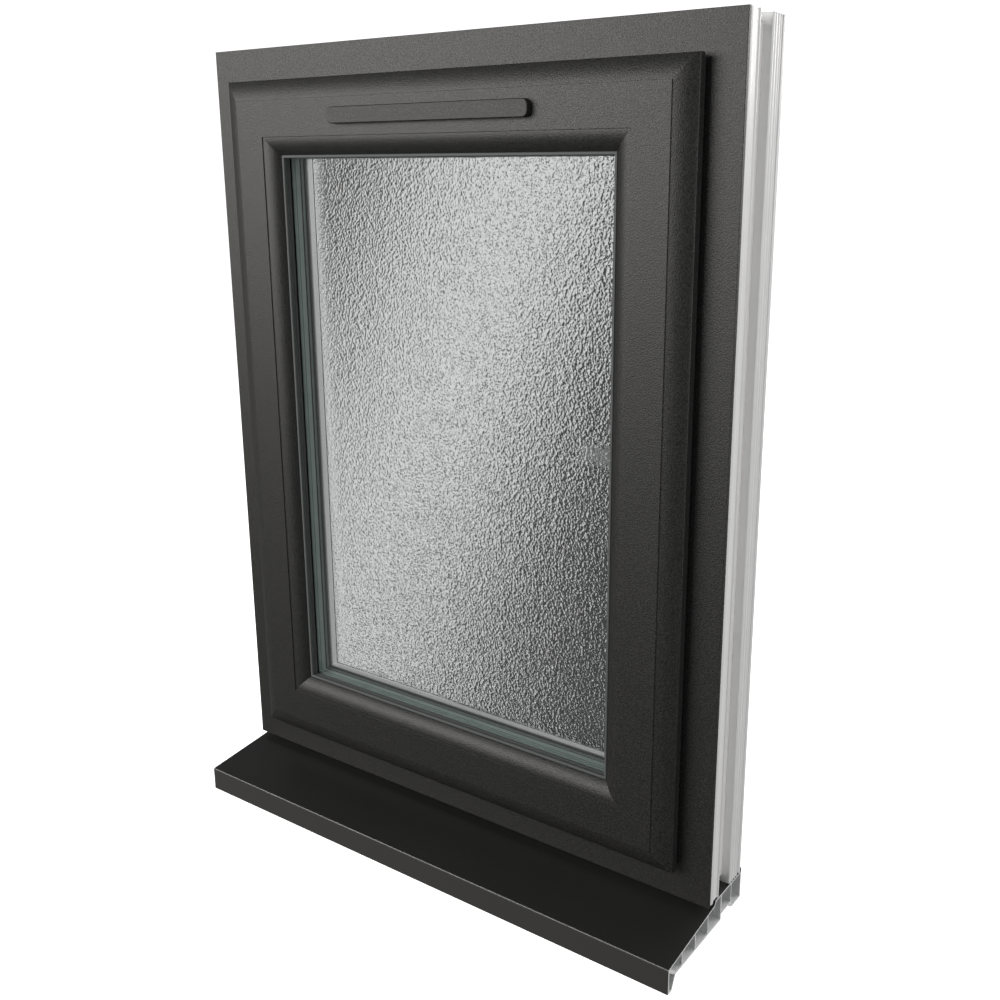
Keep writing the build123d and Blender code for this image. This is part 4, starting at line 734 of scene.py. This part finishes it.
def spacer_material():
    """Grey-green spacer: a lighter front part with a fine line, a dark seam in the middle, a darker rear."""
    made, nodes_, links, shader = new_material("spacer_finish")
    place = object_place(nodes_)
    axes = split_axes(nodes_, links, place)
    ramp = nodes_.new("ShaderNodeValToRGB")
    across = nodes_.new("ShaderNodeMapRange")
    set_values(across, From_Min=CAVITY_FRONT * MM, From_Max=CAVITY_BACK * MM)
    links.new(axes[1], across.inputs["Value"])
    links.new(across.outputs[0], ramp.inputs[0])
    rim, line, seam = (0.24, 0.30, 0.28), (0.13, 0.165, 0.155), (0.02, 0.025, 0.023)
    stops = [(0.0, rim), (0.24, (0.36, 0.45, 0.42)), (0.25, line), (0.30, line), (0.31, (0.38, 0.475, 0.445)),
             (0.60, (0.35, 0.44, 0.41)), (0.66, rim), (0.67, seam), (0.765, seam)]
    stops += [(0.775, (0.16, 0.21, 0.195)), (0.965, (0.14, 0.185, 0.17)), (0.98, (0.02, 0.027, 0.025))]
    bands = ramp.color_ramp.elements
    while len(bands) < len(stops):
        bands.new(0.5)
    for band, (where, colour) in zip(bands, stops):
        band.position = where
        band.color = (*colour, 1)
    cloud = noise(nodes_, links, place, 60.0, 3.0)
    shaded = nodes_.new("ShaderNodeMix")
    shaded.data_type = "RGBA"
    shaded.blend_type = "MULTIPLY"
    shaded.inputs[0].default_value = 0.25
    links.new(ramp.outputs[0], shaded.inputs[6])
    links.new(cloud, shaded.inputs[7])
    links.new(shaded.outputs[2], shader.inputs["Base Color"])
    links.new(between(nodes_, links, cloud, 0.36, 0.46), shader.inputs["Roughness"])
    links.new(bump(nodes_, links, cloud, 0.1, 0.0001), shader.inputs["Normal"])
    return made


def glass_parts(name, tint, rough, lets_through):
    """Glass shader that light gets through: to a shadow ray it is clear, but for the share it holds back."""
    made, nodes_, links, shader = new_material(name)
    set_values(shader, Base_Color=(*tint, 1), Roughness=rough, IOR=1.5, Transmission_Weight=1.0)
    clear = nodes_.new("ShaderNodeBsdfTransparent")
    clear.inputs[0].default_value = (*[share * lets_through for share in tint], 1)
    rays = nodes_.new("ShaderNodeLightPath")
    mix = nodes_.new("ShaderNodeMixShader")
    links.new(rays.outputs["Is Shadow Ray"], mix.inputs[0])
    links.new(shader.outputs[0], mix.inputs[1])
    links.new(clear.outputs[0], mix.inputs[2])
    links.new(mix.outputs[0], nodes_["Material Output"].inputs["Surface"])
    return made, nodes_, links, shader


def clear_glass():
    """Float glass with a very faint waviness."""
    made, nodes_, links, shader = glass_parts("clear_glass_finish", (0.975, 0.985, 0.983), 0.0, 0.92)
    place = object_place(nodes_)
    links.new(bump(nodes_, links, noise(nodes_, links, place, 6.0), 0.02, 0.0002), shader.inputs["Normal"])
    return made


def obscure_glass():
    """Hammered glass: rounded pits about 3 mm across, run together, with a finer ripple over them.

    The relief is only on the room side, and it fades out beside the left and lower beads.
    """
    made, nodes_, links, shader = glass_parts("obscure_glass_finish", (0.95, 0.955, 0.955), 0.02, 0.3)
    place = object_place(nodes_)
    axes = split_axes(nodes_, links, place)
    warp = nodes_.new("ShaderNodeTexNoise")
    set_values(warp, Scale=PUSHES, Detail=2.0)
    links.new(place, warp.inputs["Vector"])
    moved = nodes_.new("ShaderNodeVectorMath")
    moved.operation = "MULTIPLY_ADD"
    links.new(warp.outputs["Color"], moved.inputs[0])
    moved.inputs[1].default_value = (PUSH, PUSH, PUSH)
    links.new(place, moved.inputs[2])
    pits = nodes_.new("ShaderNodeTexVoronoi")
    pits.feature = "SMOOTH_F1"
    set_values(pits, Scale=PITS, Smoothness=0.7)
    links.new(moved.outputs[0], pits.inputs["Vector"])
    ripple = noise(nodes_, links, moved.outputs[0], RIPPLES, 2.0)
    height = math_node(nodes_, links, "MULTIPLY_ADD", ripple, 0.5, pits.outputs["Distance"])
    middle = (CAVITY_BACK + ROOM_PANE_BACK) / 2
    back = step_mask(nodes_, links, axes[1], (middle - 0.5) * MM, (middle + 0.5) * MM)
    beside = step_mask(nodes_, links, axes[0], CLEAR_X * MM, (CLEAR_X + CLEAR_FADE) * MM)
    above = step_mask(nodes_, links, axes[2], CLEAR_Z * MM, (CLEAR_Z + CLEAR_FADE) * MM)
    for share in (back, beside, above):
        height = math_node(nodes_, links, "MULTIPLY", height, share)
    links.new(bump(nodes_, links, height, 1.0, PIT_RELIEF), shader.inputs["Normal"])
    return made


FRAME_FINISH = profile_material("frame_finish", FOIL_EDGE - 0.1)
SASH_FINISH = profile_material("sash_finish", LIP_BACK - 1)
CANOPY_FINISH = foil_material("canopy_finish", CANOPY, CANOPY_LIGHT)
WHITE_FINISH = plain_material("white_finish", WHITE, WHITE_SHADE, 0.28, scale=CLOUD)
SILL_FINISH = sill_material()
SEAL_FINISH = plain_material("seal_finish", (0.018, 0.018, 0.019), (0.03, 0.03, 0.03), 0.6, scale=50.0)
GASKET_FINISH = plain_material("gasket_finish", (0.10, 0.106, 0.106), (0.08, 0.086, 0.086), 0.65, scale=50.0)
SEALANT_FINISH = plain_material("sealant_finish", (0.03, 0.03, 0.03), (0.05, 0.05, 0.05), 0.7, scale=120.0)
PACKER_FINISH = plain_material("packer_finish", (0.10, 0.14, 0.35), (0.12, 0.16, 0.38), 0.45)
STAY_FINISH = brushed_material("stay_finish", (0.62, 0.63, 0.64), (0.48, 0.49, 0.50), 0.32, (0.04, 1, 1))
STRIP_FINISH = brushed_material("strip_finish", (0.66, 0.66, 0.64), (0.52, 0.53, 0.52), 0.36, (1, 1, 0.04))
CAST_FINISH = plain_material("cast_finish", (0.55, 0.56, 0.57), (0.46, 0.47, 0.48), 0.42, 1.0, 80.0, 0.4)
SCREW_FINISH = plain_material("screw_finish", (0.62, 0.62, 0.60), (0.50, 0.51, 0.50), 0.35, 1.0, 200.0)
HANDLE_FINISH = plain_material("handle_finish", (0.80, 0.80, 0.79), (0.76, 0.76, 0.75), 0.30,
                               scale=25.0, relief=0.25)
SPACER_FINISH = spacer_material()
CLEAR_GLASS = clear_glass()
OBSCURE_GLASS = obscure_glass()

# Swept pieces
FRAME_PIECES = {"head": "frame_head", "base": "frame_base",
                "left": "frame_jamb_left", "right": "frame_jamb_right"}
SASH_PIECES = {"head": "sash_head", "base": "sash_base",
               "left": "sash_stile_hinge", "right": "sash_stile_lock"}
for side, node in FRAME_PIECES.items():
    made = member(node + "_profile", frame_outline(), side, FRAME_FINISH, "frame", [node])
for side, node in SASH_PIECES.items():
    made = member(node + "_profile", sash_outline(), side, SASH_FINISH, "sash", [node])
for side in SIDES:
    node = "bead_" + side
    made = member(node + "_profile", bead_outline(), side, WHITE_FINISH, "sash", [node])
made = ring("glazing_gasket_lip", outer_gasket_outline(), GASKET_FINISH, "sash", ["glazing_gasket"])
made = ring("bead_gasket_lip", inner_gasket_outline(), GASKET_FINISH, "sash", ["bead_gasket"])
made = ring("spacer_profile", spacer_outline(), SPACER_FINISH, "sash", ["spacer_bar"])
made = tunnelled("sill_profile", sill_outlines(), -WIDTH / 2, WIDTH / 2, SILL_FINISH, "frame", ["sill"])

# Finishes of the pieces that keep their CAD form
FINISHES = {
    CANOPY_FINISH: "vent_canopy",
    WHITE_FINISH: "vent_body vent_end_caps vent_shutter",
    SEAL_FINISH: "frame_seal_outer frame_seal_inner",
    SEALANT_FINISH: "edge_seal",
    PACKER_FINISH: "glazing_packers",
    CLEAR_GLASS: "outer_pane",
    OBSCURE_GLASS: "inner_pane",
    STAY_FINISH: """stay_track_bottom stay_track_top short_arm_bottom short_arm_top long_arm_bottom
        long_arm_top sash_bar_bottom sash_bar_top""",
    STRIP_FINISH: "lock_faceplate locking_rod gearbox_follower handle_spindle",
    CAST_FINISH: "gearbox_case locking_cams keep_lower keep_middle keep_upper",
    SCREW_FINISH: """track_screws sash_bar_screws keep_screws faceplate_screws handle_screws vent_screws
        sill_screws""",
    HANDLE_FINISH: "handle_backplate handle_lever lock_button",
}
for finish, names in FINISHES.items():
    for name in names.split():
        data = nodes[name].data
        data.materials.clear()
        data.materials.append(finish)


# Floor, light and camera
def floor():
    """Large plain pale plane just under the sill's nose; the gloss and the glass don't pick it up."""
    half = 8.0
    z = (NOSE_LOW - 0.1) * MM
    data = bpy.data.meshes.new("floor")
    corners = [(-half, -half, z), (half, -half, z), (half, half, z), (-half, half, z)]
    data.from_pydata(corners, [], [(0, 1, 2, 3)])
    made, nodes_, links, shader = new_material("floor_finish")
    set_values(shader, Base_Color=(0.9, 0.9, 0.9, 1), Roughness=0.9, Emission_Color=(1, 1, 1, 1),
               Emission_Strength=1.0)
    data.materials.append(made)
    piece = bpy.data.objects.new("floor", data)
    piece.visible_transmission = False
    piece.visible_glossy = False
    piece.visible_diffuse = False
    bpy.context.collection.objects.link(piece)


def softbox(name, place, target, size, power, left_out=()):
    """Rectangular area light that faces a target, isn't seen, and doesn't reach the objects left out."""
    data = bpy.data.lights.new(name, "AREA")
    data.shape = "RECTANGLE"
    data.size, data.size_y = size
    data.energy = power
    data.color = (1.0, 0.985, 0.965)
    piece = bpy.data.objects.new(name, data)
    piece.location = place
    piece.rotation_euler = (Vector(target) - Vector(place)).to_track_quat("-Z", "Y").to_euler()
    piece.visible_camera = False
    piece.visible_transmission = False
    bpy.context.collection.objects.link(piece)
    if left_out:
        group = bpy.data.collections.new(name + "_unlit")
        for other in left_out:
            group.objects.link(other)
        for row in group.collection_objects:
            row.light_linking.link_state = "EXCLUDE"
        piece.light_linking.receiver_collection = group


# What is behind the glass: turns from straight ahead and widths as angles, levels as brightness
BAND_TURN = np.radians(-36.0)
BAND_LEAN = 0.375
BAND_HALF = np.radians(6.3)
BAND_EDGE = np.radians(0.8)
BAND_LEVEL = 0.76
DARK_TURN = np.radians(-32.0)
DARK_WIDTH = np.radians(75.0)
DARK_LEVEL = 0.015


def set_world(seen, lit, room):
    """White backdrop for the camera, a weak even light for the rest, and what is seen through the glass.

    Through the glass there is a pale room with a dark part, which fades as the exponential of minus the
    square of the angle from its middle, and across that a bright band with soft edges that leans left as it
    goes down.
    """
    world = bpy.data.worlds.new("studio")
    bpy.context.scene.world = world
    world.use_nodes = True
    nodes_, links = world.node_tree.nodes, world.node_tree.links
    axes = split_axes(nodes_, links, nodes_.new("ShaderNodeTexCoord").outputs["Generated"])
    turn = math_node(nodes_, links, "ARCTAN2", axes[0], axes[1])
    rise = math_node(nodes_, links, "ARCSINE", axes[2])

    def lobe(angle, width):
        """Exponential of minus the square of an angle as a share of a width."""
        part = math_node(nodes_, links, "DIVIDE", angle, width)
        square = math_node(nodes_, links, "MULTIPLY", part, part)
        return math_node(nodes_, links, "EXPONENT", math_node(nodes_, links, "MULTIPLY", square, -1.0))

    lean = math_node(nodes_, links, "MULTIPLY_ADD", rise, BAND_LEAN, BAND_TURN)
    off = math_node(nodes_, links, "ABSOLUTE", math_node(nodes_, links, "SUBTRACT", turn, lean))
    band = step_mask(nodes_, links, off, BAND_HALF + BAND_EDGE, BAND_HALF - BAND_EDGE)
    dark = lobe(math_node(nodes_, links, "SUBTRACT", turn, DARK_TURN), DARK_WIDTH)
    behind = between(nodes_, links, dark, room, DARK_LEVEL)
    behind = math_node(nodes_, links, "MULTIPLY_ADD", band, BAND_LEVEL, behind)
    rays = nodes_.new("ShaderNodeLightPath")
    extra = math_node(nodes_, links, "SUBTRACT", behind, lit)
    level = math_node(nodes_, links, "MULTIPLY_ADD", rays.outputs["Is Transmission Ray"], extra, lit)
    level = math_node(nodes_, links, "MULTIPLY_ADD", rays.outputs["Is Camera Ray"], seen, level)
    base = nodes_["Background"]
    base.inputs[0].default_value = (1, 1, 1, 1)
    links.new(level, base.inputs[1])


# Camera
CAMERA_PLACE = (0.67784, -0.82115, 0.68585)
CAMERA_AZIMUTH = np.radians(34.82)
CAMERA_FALL = np.radians(14.94)
SENSOR = 36.0
FOCAL = SENSOR * 1.11465
SHIFT_X = -0.03632
SHIFT_Y = -0.02979


def camera():
    """The viewpoint, with the small shift of its framing."""
    data = bpy.data.cameras.new("camera")
    data.sensor_width = SENSOR
    data.lens = FOCAL
    data.shift_x = SHIFT_X
    data.shift_y = SHIFT_Y
    data.clip_start = 0.01
    piece = bpy.data.objects.new("camera", data)
    piece.location = CAMERA_PLACE
    piece.rotation_euler = (np.pi / 2 - CAMERA_FALL, 0, CAMERA_AZIMUTH)
    bpy.context.collection.objects.link(piece)
    bpy.context.scene.camera = piece


floor()
set_world(seen=1.0, lit=0.16, room=0.35)
panes = [nodes["outer_pane"], nodes["inner_pane"]]
right_edge = (0.3, 0, 0.4)
softbox("key_left", (-1.35, -2.2, 1.18), target=(0, 0, 0.5), size=(2.6, 1.4), power=76, left_out=panes)
softbox("side_right", (2.1, 1.7, 1.2), target=right_edge, size=(1.1, 1.6), power=17)
softbox("side_fill", (2.2, 0.0, 0.6), target=right_edge, size=(0.9, 1.2), power=13)
softbox("room_side", (1.1, 2.8, 1.7), target=(0, 0, 0.4), size=(2.4, 1.6), power=58, left_out=panes)
camera()
bpy.context.scene.view_settings.view_transform = "Standard"
